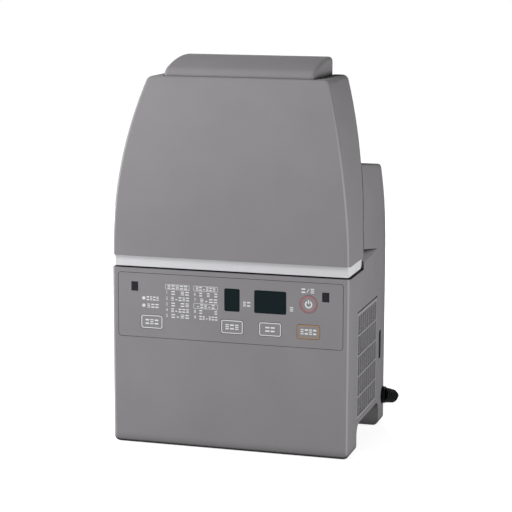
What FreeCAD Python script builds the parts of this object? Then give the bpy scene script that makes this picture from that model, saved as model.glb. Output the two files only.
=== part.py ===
"""Bedding dryer: a warm-air blower in an upright two-part casing with a swing-up air lid.

Millimetres. +X is the object's right-hand side, +Y points from its front to its back and +Z is up.
The origin is on the floor, under the middle of the casing.
"""
import FreeCAD, Part
import math
import os

V = FreeCAD.Vector

# Casing
BODY_WIDTH = 237.0
BODY_DEPTH = 157.0
WALL = 3.0
FOOT_PROUD = 1.0
DECK_Z = 175.4
BASE_CORNER_R = 5.5
EDGE_R = 3.5
SIDE_ARC_Z = 183.0
SIDE_RADIUS = 555.0
SPLIT_DEPTH = 56.0
SPLIT_BEND_Z = 216.0
SPLIT_LEAN = 0.313
SHOULDER_Z = 275.4
SHOULDER_FALL = 0.12
SHOULDER_R = 3.8
COVER_DEPTH = 13.5
COVER_EDGE_R = 3.4
SEAM_GAP = 0.3

# Tunnel under the casing, between the front and rear skirts
ARCH_SETBACK = 34.0
ARCH_REAR_SETBACK = 27.0
ARCH_Z = 27.0
ARCH_R = 11.0

# Rubber feet, let into the undersides of the skirts
FOOT_LENGTH = 34.0
FOOT_WIDTH = 10.0
FOOT_RECESS = 1.5
FOOT_INSET = 30.0

# Finger scoops behind the lid's lower corners
SCOOP_LOW_Z = 181.8
SCOOP_HEIGHT = 13.5
SCOOP_LENGTH = 61.0
SCOOP_DEPTH = 10.0
SCOOP_FALL = 9.3

# Control panel
PANEL_WIDTH = 224.6
PANEL_LOW_Z = 107.5
PANEL_HEIGHT = 63.5
PANEL_R = 3.0
PANEL_THICK = 2.0
PANEL_GAP = 0.4
PANEL_LEDGE = 4.0
KEY_WIDTH = 22.0
KEY_HEIGHT = 13.4
KEY_R = 2.0
KEY_ROW_RISE = 15.8
SIZE_KEY_X = -77.8
COURSE_KEY_X = 3.2
TIME_KEY_X = 41.0
START_KEY_X = 78.6
POWER_KEY_R = 8.4
POWER_KEY_RISE = 42.5
KEY_GAP = 0.3
KEY_TRAVEL = 0.6
KEY_FLANGE = 1.2
KEY_STEM_R = 1.6
WINDOW_HEIGHT = 22.0
WINDOW_RISE = 42.0
WINDOW_R = 1.5
COURSE_WINDOW_WIDTH = 15.2
TIME_WINDOW_WIDTH = 31.4
WINDOW_GAP = 0.1
SENSOR_WIDTH = 6.8
SENSOR_HEIGHT = 9.0
SENSOR_X = 95.1
SENSOR_RISE = 50.0
LENS_R = 1.7
LENS_X = -86.0
LENS_RISE = 35.2
LENS_PITCH = 7.2

# Control board behind the panel
BOARD_STANDOFF = 8.0
BOARD_THICK = 1.6
BOARD_MARGIN = 6.5
POST_R = 3.0
POST_INSET = 9.5
SCREW_R = 1.2
SCREW_PLAY = 0.2
SCREW_HEAD_R = 2.6
SCREW_HEAD_H = 1.8
SCREW_LENGTH = 6.0
SWITCH_SIZE = 6.0
SWITCH_HEIGHT = 4.0
SWITCH_BORE = 2.2
SWITCH_CLEARANCE = 0.2
MODULE_MARGIN = 1.2

# Lid
LID_GAP = 0.4
TRIM_GAP = 1.5
TRIM_HEIGHT = 10.2
TRIM_INSET = 1.7
TRIM_THICK = 6.0
TRIM_END_SETBACK = 0.6
TRIM_END_R = 5.0
LID_TOP_Z = 358.6
LID_WALL = 2.8
LID_CORNER_R = 7.0
LID_FRONT_ARC_Z = 228.0
LID_TOP_SETBACK = 25.0
LID_FLANGE = 8.0
LINER_THICK = 2.0
LINER_MARGIN = 12.0
LINER_LOW = 12.0
LINER_HIGH = 33.0
SKIN_GAP = 0.3

# Hinge and carrying handle on top of the outlet tower
HINGE_DEPTH = 57.0
HINGE_DROP = 8.0
LIP_SWING_R = 27.2
HANDLE_LENGTH = 150.0
HANDLE_FRONT = 29.0
HANDLE_REAR = 102.0
HANDLE_CREST = 92.0
HANDLE_RISE = 17.3
HANDLE_DOME_R = 176.0
HANDLE_FRONT_R = 12.0
HANDLE_REAR_R = 5.0
HANDLE_END_R = 4.0
HANDLE_DROP = 27.0
HANDLE_WALL = 3.0
GRIP_LENGTH = 104.0
GRIP_DEPTH = 54.0
GRIP_HEIGHT = 28.0
EAR_GAP = 1.3
EAR_THICK = 8.0
EAR_DROP = 33.0
PIN_R = 4.0
PIN_RUNNING = 0.05
PIN_SEAT = 14.0
PIN_REACH = 6.0
BOSS_R = 8.0
WASHER_R = 9.0
WASHER_PLAY = 0.05

# Outlet tower inside the lid
TOWER_SETBACK = 13.5
TOWER_TOP_SETBACK = 29.0
TOWER_SIDE_GAP = 10.0
TOWER_BASE_Z = 198.0
TOWER_NECK = 27.0
TOWER_WALL = 2.5
OUTLET_WIDTH = 150.0
OUTLET_LOW_Z = 184.0
OUTLET_LOW_HEIGHT = 37.0
UPPER_OUTLET_WIDTH = 120.0
UPPER_OUTLET_RISE = 12.0
UPPER_OUTLET_DROP = 31.0
GRILLE_RIM = 4.0
GRILLE_FACE = 1.5
GRILLE_R = 2.0
GRILLE_BAR = 2.0
GRILLE_PITCH = 6.8
AIR_PORT_WIDTH = 140.0
AIR_PORT_LOW_Z = 199.0
AIR_PORT_HEIGHT = 54.0

# Air intake on the right-hand side
VENT_SETBACK = 32.8
VENT_LENGTH = 85.4
VENT_LOW_Z = 31.0
VENT_HEIGHT = 107.0
VENT_REBATE = 1.2
VENT_GAP = 0.4
VENT_SLIT = 1.6
VENT_LEDGE = 4.0
SLOT_COLUMNS = 9
SLOT_ROWS = 5
SLOT_RIB = 1.4
SLOT_BAR = 1.6
VENT_RIM = 3.0
PAD_THICK = 3.5
PULL_WIDTH = 8.5
PULL_HEIGHT = 29.0
PULL_DEPTH = 6.0
PULL_R = 2.5
PULL_RISE = 39.5
PULL_GAP = 10.5

# Blower, heater and power board
BLOWER_BEHIND = 76.5
BLOWER_FOOT = 8.0
SCROLL_R = 47.0
SCROLL_HALF = 44.0
SCROLL_WALL = 2.0
DUCT_SETBACK = 10.0
DUCT_TOP_Z = 193.0
INLET_R = 30.0
IMPELLER_R = 39.0
IMPELLER_HALF = 36.0
BLADE_COUNT = 24
BLADE_DEPTH = 8.0
BLADE_THICK = 1.2
BLADE_SKEW = 25.0
DISC_THICK = 2.0
HUB_R = 9.0
HUB_LENGTH = 20.0
SHAFT_R = 3.0
SHAFT_RUNNING = 0.05
MOTOR_R = 21.0
MOTOR_LENGTH = 36.0
MOTOR_CAP = 4.0
MOTOR_EDGE_R = 2.0
HEATER_HEIGHT = 26.0
HEATER_WALL = 2.5
FIN_COUNT = 12
FIN_THICK = 1.5
FIN_BAR = 3.0
THERMOSTAT_R = 8.0
THERMOSTAT_H = 6.0
TAB_SPACING = 8.0
TAB_LENGTH = 5.0
TAB_WIDTH = 3.0
TAB_GAUGE = 0.8
POWER_POST = 6.0
POWER_BOARD_LENGTH = 70.0
POWER_BOARD_HEIGHT = 70.0
TRANSFORMER_LENGTH = 26.0
TRANSFORMER_HEIGHT = 30.0
TRANSFORMER_RISE = 18.0
RELAY_LENGTH = 16.0
RELAY_HEIGHT = 20.0
RELAY_RISE = 15.0
CAPACITOR_LENGTH = 20.0
CAPACITOR_HEIGHT = 12.0
CAPACITOR_RISE = 14.0
COMPONENT_MARGIN = 6.0
COMPONENT_R = 1.0

# Rear screws
BOSS_SIZE = 11.0
BOSS_SINK = 0.8
BOSS_LENGTH = 18.0
CASE_SCREW_R = 1.6
CASE_HEAD_R = 3.4
CASE_HEAD_H = 1.6
CASE_SCREW_LENGTH = 14.0
CASE_SCREW_HEIGHTS = (46.0, 153.0, 243.0)

# Mains cord
CORD_R = 3.0
BOOT_SETBACK = 7.8
BOOT_Z = 28.6
BOOT_NECK_R = 3.5
BOOT_HOLE_PLAY = 0.1
BOOT_INNER = 11.0
BOOT_COLLAR_R = 8.6
BOOT_COLLAR = 3.0
BOOT_TURN = 66.0
BOOT_DROOP = 16.0
BOOT_TAIL = 20.0
BOOT_ROOT_R = 7.4
BOOT_TIP_R = 6.0
RIB_COUNT = 5
RIB_START = 3.6
RIB_PITCH = 3.4
RIB_THICK = 1.3
RIB_PROUD = 0.8
CORD_START = 3.6
CORD_POINTS = (
    (127.7, 96.4, 22.0),
    (124.9, 100.2, 23.0),
    (119.0, 103.4, 24.6),
    (108.0, 105.6, 24.0),
    (91.0, 106.4, 14.5),
    (71.5, 105.1, 5.8),
    (57.0, 104.6, 4.2),
    (43.4, 104.6, 4.2),
)
COIL_R = 48.0
COIL_TURNS = 8
COIL_STEP = 6.6
COIL_TUCK = 1.3
TAIL_RUNS = ((-11.4, 0.0, 0.0), (-14.0, -1.5, -1.4), (-12.0, 0.0, 0.0))
TIE_GAP = 0.25
TIE_THICK = 0.9
TIE_WIDTH = 9.0
PLUG_RELIEF = 12.0
PLUG_MOUTH = 1.0
PLUG_THROAT = 2.5
PLUG_LENGTH = 24.0
PLUG_WIDTH = 25.0
PLUG_R = 4.0
BLADE_LENGTH = 17.0
BLADE_WIDTH = 6.3
BLADE_GAUGE = 1.5
BLADE_CHAMFER = 0.5
BLADE_SPACING = 12.7

# Places worked out from the driving dimensions
FRONT_Y = -BODY_DEPTH / 2
REAR_Y = BODY_DEPTH / 2
SIDE_X = BODY_WIDTH / 2
ARCH_LENGTH = BODY_DEPTH - ARCH_SETBACK - ARCH_REAR_SETBACK
SEAM_Y = REAR_Y - COVER_DEPTH
SPLIT_Y = FRONT_Y + SPLIT_DEPTH
FLOOR_Z = ARCH_Z + WALL
LID_Z = DECK_Z + TRIM_GAP + TRIM_HEIGHT
LID_ARC_RISE = LID_TOP_Z - LID_FRONT_ARC_Z
LID_FRONT_RADIUS = (LID_ARC_RISE ** 2 + LID_TOP_SETBACK ** 2) / (2 * LID_TOP_SETBACK)
HINGE_Y = FRONT_Y + HINGE_DEPTH
HINGE_Z = LID_TOP_Z - HINGE_DROP
HANDLE_CREST_Z = LID_TOP_Z + HANDLE_RISE
HANDLE_BASE_Z = LID_TOP_Z - HANDLE_DROP
EAR_LOW_Z = LID_TOP_Z - EAR_DROP
TOWER_NECK_Z = HANDLE_BASE_Z - TOWER_NECK
UPPER_OUTLET_LOW_Z = LID_FRONT_ARC_Z + UPPER_OUTLET_RISE
UPPER_OUTLET_HEIGHT = HANDLE_BASE_Z - UPPER_OUTLET_DROP - UPPER_OUTLET_LOW_Z
PANEL_BACK_Y = FRONT_Y + PANEL_THICK
BOARD_Y = PANEL_BACK_Y + BOARD_STANDOFF
KEY_ROW_Z = PANEL_LOW_Z + KEY_ROW_RISE
WINDOW_Z = PANEL_LOW_Z + WINDOW_RISE
SENSOR_Z = PANEL_LOW_Z + SENSOR_RISE
POWER_KEY_Z = PANEL_LOW_Z + POWER_KEY_RISE
EAR_X = HANDLE_LENGTH / 2 + EAR_GAP
TOWER_FRONT_Y = FRONT_Y + TOWER_SETBACK
TOWER_BASE_HALF = SIDE_X - TOWER_SIDE_GAP
TOWER_TOP_HALF = HANDLE_LENGTH / 2
BLOWER_Y = FRONT_Y + BLOWER_BEHIND
BLOWER_Z = FLOOR_Z + BLOWER_FOOT + SCROLL_R
VENT_Y = FRONT_Y + VENT_SETBACK
BOOT_Y = REAR_Y - BOOT_SETBACK
KEYS = {
    "size_key": SIZE_KEY_X,
    "course_key": COURSE_KEY_X,
    "time_key": TIME_KEY_X,
    "start_key": START_KEY_X,
}
X_AXIS = V(1, 0, 0)
Y_AXIS = V(0, 1, 0)
Z_AXIS = V(0, 0, 1)


# Shared shapes
def box(x0, x1, y0, y1, z0, z1):
    """A block between two corners."""
    return Part.makeBox(x1 - x0, y1 - y0, z1 - z0, V(x0, y0, z0))


def rod(start, direction, radius, length):
    """A cylinder that starts at a point and runs along a direction."""
    return Part.makeCylinder(radius, length, start, direction)


def polygon(points):
    """A closed flat face through 3-D points."""
    return Part.Face(Part.makePolygon(points + points[:1]))


def rounded_face(points, radii):
    """A flat face through 3-D corner points, each corner rounded by its own radius."""
    edges, entry, leave = [], [], []
    count = len(points)
    for i, corner in enumerate(points):
        back = (points[i - 1] - corner).normalize()
        ahead = (points[(i + 1) % count] - corner).normalize()
        half = back.getAngle(ahead) / 2
        reach = radii[i] / math.tan(half)
        entry.append(corner + back * reach)
        leave.append(corner + ahead * reach)
    for i, corner in enumerate(points):
        if radii[i] > 0:
            chord = (entry[i] + leave[i]) * 0.5
            outward = (corner - chord).normalize()
            half = (entry[i] - corner).getAngle(leave[i] - corner) / 2
            sag = radii[i] * (1 - math.sin(half))
            edges.append(Part.Arc(entry[i], chord + outward * sag, leave[i]).toShape())
        after = entry[(i + 1) % count]
        if (after - leave[i]).Length > 1e-6:
            edges.append(Part.LineSegment(leave[i], after).toShape())
    return Part.Face(Part.Wire(edges))


def plate(x0, x1, z0, z1, y0, y1, radius):
    """An upright plate in the XZ plane with rounded corners."""
    corners = [V(x0, y0, z0), V(x1, y0, z0), V(x1, y0, z1), V(x0, y0, z1)]
    return rounded_face(corners, [radius] * 4).extrude(V(0, y1 - y0, 0))


def yz_prism(points, half_width):
    """A prism across the object, from (y, z) corner points."""
    face = polygon([V(-half_width, y, z) for y, z in points])
    return face.extrude(V(2 * half_width, 0, 0))


def join(shapes):
    """One solid from overlapping or touching solids."""
    return shapes[0].multiFuse(shapes[1:]).removeSplitter()


def fillet_where(shape, radius, chosen):
    """Round the edges for which chosen(edge) is true."""
    edges = [edge for edge in shape.Edges if chosen(edge)]
    return shape.makeFillet(radius, edges)


def samples(edge):
    """A few points along an edge."""
    return edge.discretize(5)


def export(name, shape):
    """Write one node, checking that it is sound."""
    if not shape.isValid() or shape.Volume <= 0:
        raise ValueError(f"{name} is not a sound solid")
    shape.exportStep(f"parts/{name}.step")


# Outlines that several pieces share
def half_width(z, inset):
    """Half the casing's width at a height."""
    if z <= SIDE_ARC_Z:
        return SIDE_X - inset
    return SIDE_X - SIDE_RADIUS + math.sqrt((SIDE_RADIUS - inset) ** 2 - (z - SIDE_ARC_Z) ** 2)


def side_block(z_low, z_high, inset, corner_r, y0, y1):
    """A block bounded by the casing's two sides, which curve in above SIDE_ARC_Z."""
    def at(x, z):
        return V(x, y0, z)

    foot = max(z_low, SIDE_ARC_Z)
    middle = (foot + z_high) / 2
    right = []
    if z_low < SIDE_ARC_Z:
        x = SIDE_X - inset
        bow = corner_r * (1 - math.sqrt(0.5))
        right.append(Part.Arc(at(x - corner_r, z_low), at(x - bow, z_low + bow), at(x, z_low + corner_r)))
        right.append(Part.LineSegment(at(x, z_low + corner_r), at(x, SIDE_ARC_Z)))
    curve = [at(half_width(z, inset), z) for z in (foot, middle, z_high)]
    right.append(Part.Arc(*curve))
    left = [segment.toShape().mirror(V(), X_AXIS) for segment in right]
    top = Part.LineSegment(at(-curve[2].x, z_high), curve[2])
    base_x = SIDE_X - inset - corner_r if z_low < SIDE_ARC_Z else curve[0].x
    base = Part.LineSegment(at(-base_x, z_low), at(base_x, z_low))
    edges = left + [segment.toShape() for segment in right] + [top.toShape(), base.toShape()]
    wire = Part.Wire(Part.__sortEdges__(edges))
    return Part.Face(wire).extrude(V(0, y1 - y0, 0))


def split_y(z):
    """Where the lid's rear edge meets the casing, at a height."""
    return SPLIT_Y + SPLIT_LEAN * max(z - SPLIT_BEND_Z, 0.0)


def shoulder_z(y):
    """Height of the sloping shoulder behind the lid."""
    return SHOULDER_Z - SHOULDER_FALL * (y - split_y(SHOULDER_Z))


def casing_profile(inset, y_back):
    """Corner points (y, z) of the casing's side view, offset inwards by inset."""
    lean_shift = inset * math.hypot(1.0, SPLIT_LEAN)
    fall_shift = inset * math.hypot(1.0, SHOULDER_FALL)
    bend_z = SPLIT_BEND_Z + (inset - lean_shift) / SPLIT_LEAN
    top_line = SHOULDER_Z + SHOULDER_FALL * split_y(SHOULDER_Z) - fall_shift
    wall_line = SPLIT_Y - SPLIT_LEAN * SPLIT_BEND_Z + lean_shift
    crest_y = (wall_line + SPLIT_LEAN * top_line) / (1 + SPLIT_LEAN * SHOULDER_FALL)
    base = FOOT_PROUD + inset
    arch_front = FRONT_Y + ARCH_SETBACK - inset
    arch_rear = FRONT_Y + ARCH_SETBACK + ARCH_LENGTH + inset
    return [
        (FRONT_Y + inset, base),
        (arch_front, base),
        (arch_front, ARCH_Z + inset),
        (arch_rear, ARCH_Z + inset),
        (arch_rear, base),
        (y_back, base),
        (y_back, top_line - SHOULDER_FALL * y_back),
        (crest_y, top_line - SHOULDER_FALL * crest_y),
        (SPLIT_Y + inset, bend_z),
        (SPLIT_Y + inset, DECK_Z - inset),
        (FRONT_Y + inset, DECK_Z - inset),
    ]


def on_shoulder(edge, inset):
    """True for the two long edges between the shoulder and the sides."""
    drop = inset * math.hypot(1.0, SHOULDER_FALL)
    points = samples(edge)
    level = all(abs(p.z - shoulder_z(p.y) + drop) < 0.01 for p in points)
    return level and abs(points[0].y - points[-1].y) > 1.0


def casing_form(inset, y_back):
    """The casing's outer form, or its hollow when inset is the wall."""
    points = [V(-SIDE_X, y, z) for y, z in casing_profile(inset, y_back)]
    arch_r = ARCH_R + inset
    radii = [0, 0, arch_r, arch_r, 0, 0, 0, 0, 0, 0, 0]
    profile = rounded_face(points, radii).extrude(V(BODY_WIDTH, 0, 0))
    top = SHOULDER_Z + WALL
    sides = side_block(FOOT_PROUD + inset, top, inset, BASE_CORNER_R - inset, FRONT_Y - 1, y_back + 1)
    form = profile.common(sides)
    form = fillet_where(form, SHOULDER_R - inset, lambda edge: on_shoulder(edge, inset))
    front = FRONT_Y + inset

    def on_front(edge):
        points = samples(edge)
        flat = all(abs(p.y - front) < 0.01 for p in points)
        return flat and min(p.z for p in points) < DECK_Z - inset - 1
    return fillet_where(form, EDGE_R - inset, on_front)


def scoop(side, margin):
    """The finger scoop behind one lower corner of the lid: a ledge above a face that slopes out."""
    lean = SCOOP_DEPTH / SCOOP_HEIGHT
    out = SIDE_X + SCOOP_DEPTH
    top = SCOOP_LOW_Z + SCOOP_HEIGHT
    mouth = (SPLIT_Y - LID_GAP - margin, SIDE_X - SCOOP_DEPTH, top)
    tail = (SPLIT_Y + SCOOP_LENGTH + margin, SIDE_X + LID_GAP, top - SCOOP_FALL)
    wires = []
    for y, edge, ledge in (mouth, tail):
        inner = edge - margin * math.hypot(1.0, lean)
        high = ledge + margin
        points = [
            V(side * (inner - margin * lean), y, high),
            V(side * out, y, high),
            V(side * out, y, ledge - (out - inner) / lean),
        ]
        wires.append(Part.makePolygon(points + points[:1]))
    return Part.makeLoft(wires, True, True)


def pull_pocket(margin):
    """The upright finger slot beside the intake cover, grown by margin."""
    low = VENT_LOW_Z + PULL_RISE - margin
    y0 = VENT_Y + VENT_LENGTH + PULL_GAP - margin
    width = PULL_WIDTH + 2 * margin
    x0 = SIDE_X - PULL_DEPTH - margin
    x1 = SIDE_X + (0 if margin else 1)
    high = low + PULL_HEIGHT + 2 * margin
    corners = [V(x0, y0, low), V(x0, y0 + width, low), V(x0, y0 + width, high), V(x0, y0, high)]
    return rounded_face(corners, [PULL_R + margin] * 4).extrude(V(x1 - x0, 0, 0))


def screw_places():
    """(side, height) of each screw through the rear cover."""
    return [(side, z) for z in CASE_SCREW_HEIGHTS for side in (-1, 1)]


def screw_x(side, z):
    """X of a rear screw's axis."""
    return side * (half_width(z, WALL) - BOSS_SIZE / 2 + BOSS_SINK)


def screw_boss(side, z, y0, y1):
    """A square boss that runs out into the side wall round a rear screw."""
    x = screw_x(side, z)
    edges = sorted((x - side * BOSS_SIZE / 2, x + side * BOSS_SIZE))
    return box(*edges, y0, y1, z - BOSS_SIZE / 2, z + BOSS_SIZE / 2)


def foot_places():
    """Centres (x, y) of the four rubber feet."""
    front = FRONT_Y + ARCH_SETBACK / 2
    arch_rear = FRONT_Y + ARCH_SETBACK + ARCH_LENGTH
    rear = (arch_rear + SEAM_Y) / 2
    across = SIDE_X - FOOT_INSET - FOOT_LENGTH / 2
    return [(side * across, y) for y in (front, rear) for side in (-1, 1)]


def foot_block(x, y, grow, z_low):
    """One foot's block, or the recess that holds it."""
    length = FOOT_LENGTH / 2 + grow
    width = FOOT_WIDTH / 2 + grow
    return box(x - length, x + length, y - width, y + width, z_low, FOOT_PROUD + FOOT_RECESS)


def power_posts():
    """Centres (y, z) of the posts that carry the power board."""
    y, z = power_board_centre()
    dy = POWER_BOARD_LENGTH / 2 - POST_R - 1
    dz = POWER_BOARD_HEIGHT / 2 - POST_R - 1
    return [(y + a * dy, z + b * dz) for a in (-1, 1) for b in (-1, 1)]


def power_board_centre():
    """Centre (y, z) of the power board on the left-hand wall."""
    return BLOWER_Y, BLOWER_Z


def boot_hole():
    """The round hole in the rear cover's side that the cord boot's neck fills."""
    return rod(V(SIDE_X - 2 * WALL, BOOT_Y, BOOT_Z), X_AXIS, BOOT_NECK_R + BOOT_HOLE_PLAY, 4 * WALL)


# Casing
def casing():
    """Front, sides, deck, rear hump and tunnel in one moulding, open at the back."""
    shell = casing_form(0.0, SEAM_Y).cut(casing_form(WALL, SEAM_Y + 1))
    outside = casing_form(0.0, SEAM_Y)
    backing = [scoop(side, WALL) for side in (-1, 1)] + [pull_pocket(WALL)]
    backing += [screw_boss(side, z, SEAM_Y - BOSS_LENGTH, SEAM_Y) for side, z in screw_places()]
    for y, z in power_posts():
        backing.append(rod(V(WALL - SIDE_X - 1, y, z), X_AXIS, POST_R, POWER_POST + 1))
    for x, y in foot_places():
        grown = FOOT_WIDTH / 2 + WALL
        reach = FOOT_LENGTH / 2 + WALL
        top = FOOT_PROUD + FOOT_RECESS + WALL
        backing.append(box(x - reach, x + reach, y - grown, y + grown, FOOT_PROUD, top))
    inside = Part.makeCompound([piece.common(outside) for piece in backing])
    shell = join([shell] + inside.Solids)
    cutters = [scoop(side, 0.0) for side in (-1, 1)] + [pull_pocket(0.0)]
    half = PANEL_WIDTH / 2
    top = PANEL_LOW_Z + PANEL_HEIGHT
    cutters.append(plate(-half, half, PANEL_LOW_Z, top, FRONT_Y - 1, PANEL_BACK_Y, PANEL_R))
    lip = PANEL_LEDGE
    window = (PANEL_LOW_Z + lip, top - lip)
    cutters.append(box(lip - half, half - lip, FRONT_Y - 1, FRONT_Y + WALL + 1, *window))
    vent_top = VENT_LOW_Z + VENT_HEIGHT
    vent_end = VENT_Y + VENT_LENGTH
    cutters.append(box(SIDE_X - VENT_REBATE, SIDE_X + 1, VENT_Y, vent_end, VENT_LOW_Z, vent_top))
    lip = VENT_LEDGE
    hole = (VENT_Y + lip, vent_end - lip, VENT_LOW_Z + lip, vent_top - lip)
    cutters.append(box(SIDE_X - WALL - 1, SIDE_X + 1, *hole))
    port = AIR_PORT_WIDTH / 2
    port_top = AIR_PORT_LOW_Z + AIR_PORT_HEIGHT
    port_rear = split_y(port_top) + 3 * WALL
    cutters.append(box(-port, port, SPLIT_Y - WALL, port_rear, AIR_PORT_LOW_Z, port_top))
    for side, z in screw_places():
        start = V(screw_x(side, z), SEAM_Y + 1, z)
        cutters.append(rod(start, -Y_AXIS, CASE_SCREW_R, CASE_SCREW_LENGTH))
    for y, z in power_posts():
        cutters.append(rod(V(WALL - SIDE_X, y, z), X_AXIS, SCREW_R, POWER_POST + 1))
    for x, y in foot_places():
        cutters.append(foot_block(x, y, 0.0, FOOT_PROUD - 1))
    return shell.cut(cutters).removeSplitter()


def cover_form(inset):
    """The rear cover's outer form, or its hollow when inset is the wall."""
    front = SEAM_Y + SEAM_GAP - (1.0 if inset else 0.0)
    rear = REAR_Y - inset
    drop = inset * math.hypot(1.0, SHOULDER_FALL)
    base = FOOT_PROUD + inset
    profile = yz_prism([
        (front, base),
        (rear, base),
        (rear, shoulder_z(rear) - drop),
        (front, shoulder_z(front) - drop),
    ], BODY_WIDTH)
    sides = side_block(base, SHOULDER_Z, inset, BASE_CORNER_R - inset, front - 1, rear + 1)
    form = profile.common(sides)
    form = fillet_where(form, SHOULDER_R - inset, lambda edge: on_shoulder(edge, inset))
    return fillet_where(form, COVER_EDGE_R - inset, lambda edge: all(
        abs(p.y - rear) < 0.01 for p in samples(edge)))


def rear_cover():
    """Shallow tray that closes the casing's back."""
    tray = cover_form(0.0).cut(cover_form(WALL))
    sleeves, cutters = [], [boot_hole()]
    for side, z in screw_places():
        front = V(screw_x(side, z), SEAM_Y + SEAM_GAP, z)
        sleeves.append(screw_boss(side, z, front.y, REAR_Y - WALL / 2))
        cutters.append(rod(front - Y_AXIS, Y_AXIS, CASE_SCREW_R, COVER_DEPTH + 2))
        cutters.append(rod(V(front.x, REAR_Y - CASE_HEAD_H, z), Y_AXIS, CASE_HEAD_R, CASE_HEAD_H + 1))
    outside = cover_form(0.0)
    sleeves = [sleeve.common(outside) for sleeve in sleeves]
    return join([tray] + sleeves).cut(cutters)


def casing_screws():
    """The screws that hold the rear cover."""
    screws = []
    for side, z in screw_places():
        seat = V(screw_x(side, z), REAR_Y - CASE_HEAD_H, z)
        shank = rod(seat, -Y_AXIS, CASE_SCREW_R, COVER_DEPTH + CASE_SCREW_LENGTH - CASE_HEAD_H - 2)
        head = rod(seat, Y_AXIS, CASE_HEAD_R - 0.1, CASE_HEAD_H)
        slot = box(seat.x - 2.2, seat.x + 2.2, REAR_Y - 0.8, REAR_Y + 1, z - 0.45, z + 0.45)
        cross = box(seat.x - 0.45, seat.x + 0.45, REAR_Y - 0.8, REAR_Y + 1, z - 2.2, z + 2.2)
        screws.append(head.fuse(shank).cut([slot, cross]).removeSplitter())
    return Part.makeCompound(screws)


def feet():
    """Four rubber pads under the skirts."""
    pads = []
    for x, y in foot_places():
        block = foot_block(x, y, 0.0, 0.0)
        pads.append(block.makeChamfer(0.4, [e for e in block.Edges if e.BoundBox.ZMax < 0.01]))
    return Part.makeCompound(pads)


# Control panel
def key_blank(x, z, half_w, half_h, radius, y0, y1):
    """A rounded key-shaped block."""
    return plate(x - half_w, x + half_w, z - half_h, z + half_h, y0, y1, radius)


def key_hole(x, y0, y1):
    """The panel hole for one oblong key."""
    half_w = KEY_WIDTH / 2 + KEY_GAP
    half_h = KEY_HEIGHT / 2 + KEY_GAP
    return key_blank(x, KEY_ROW_Z, half_w, half_h, KEY_R + KEY_GAP, y0, y1)


def window_block(x, width, grow, y0, y1):
    """A display window's block, or the hole that holds it."""
    half_w = width / 2 + grow
    half_h = WINDOW_HEIGHT / 2 + grow
    return plate(x - half_w, x + half_w, WINDOW_Z - half_h, WINDOW_Z + half_h, y0, y1, WINDOW_R + grow)


def sensor_block(side, grow, y0, y1):
    """One small dark receiver window, or its hole."""
    half_w = SENSOR_WIDTH / 2 + grow
    half_h = SENSOR_HEIGHT / 2 + grow
    x = side * SENSOR_X
    return box(x - half_w, x + half_w, y0, y1, SENSOR_Z - half_h, SENSOR_Z + half_h)


def lens_rods(grow, y0, y1):
    """The two indicator lenses, or their holes."""
    heights = [PANEL_LOW_Z + LENS_RISE + i * LENS_PITCH - LENS_PITCH / 2 for i in (0, 1)]
    return [rod(V(LENS_X, y0, z), Y_AXIS, LENS_R + grow, y1 - y0) for z in heights]


def board_posts():
    """Centres (x, z) of the panel's posts."""
    x = PANEL_WIDTH / 2 - POST_INSET
    low = PANEL_LOW_Z + POST_INSET + 1
    high = PANEL_LOW_Z + PANEL_HEIGHT - POST_INSET - 1
    return [(side * x, z) for z in (low, high) for side in (-1, 1)]


def control_panel():
    """Flush panel with holes for the keys and windows, and posts for the board."""
    half = PANEL_WIDTH / 2 - PANEL_GAP
    low = PANEL_LOW_Z + PANEL_GAP
    high = PANEL_LOW_Z + PANEL_HEIGHT - PANEL_GAP
    face = plate(-half, half, low, high, FRONT_Y, PANEL_BACK_Y, PANEL_R - PANEL_GAP)
    posts = [rod(V(x, PANEL_BACK_Y, z), Y_AXIS, POST_R, BOARD_STANDOFF) for x, z in board_posts()]
    front, back = FRONT_Y - 1, PANEL_BACK_Y + 1
    cutters = [key_hole(x, front, back) for x in KEYS.values()]
    power = V(START_KEY_X, front, POWER_KEY_Z)
    cutters.append(rod(power, Y_AXIS, POWER_KEY_R + KEY_GAP, back - front))
    cutters.append(window_block(COURSE_KEY_X, COURSE_WINDOW_WIDTH, WINDOW_GAP, front, back))
    cutters.append(window_block(TIME_KEY_X, TIME_WINDOW_WIDTH, WINDOW_GAP, front, back))
    cutters += [sensor_block(side, WINDOW_GAP, front, back) for side in (-1, 1)]
    cutters += lens_rods(WINDOW_GAP, front, back)
    for x, z in board_posts():
        cutters.append(rod(V(x, BOARD_Y + 1, z), -Y_AXIS, SCREW_R, SCREW_LENGTH + 1))
    return join([face] + posts).cut(cutters)


def key_stem(x, z):
    """Flange stem that reaches into a key's switch."""
    start = V(x, PANEL_BACK_Y, z)
    end = BOARD_Y - SWITCH_HEIGHT + SWITCH_BORE - KEY_TRAVEL - SWITCH_CLEARANCE
    return rod(start, Y_AXIS, KEY_STEM_R, end - PANEL_BACK_Y)


def oblong_key(x):
    """One oblong key with its retaining flange and stem."""
    flange_y = PANEL_BACK_Y + KEY_GAP
    cap = key_blank(x, KEY_ROW_Z, KEY_WIDTH / 2, KEY_HEIGHT / 2, KEY_R, FRONT_Y, flange_y)
    reach, rise = KEY_WIDTH / 2 + KEY_FLANGE, KEY_HEIGHT / 2 + KEY_FLANGE
    flange = key_blank(x, KEY_ROW_Z, reach, rise, KEY_R, flange_y, flange_y + KEY_FLANGE)
    return join([cap, flange, key_stem(x, KEY_ROW_Z)])


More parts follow.
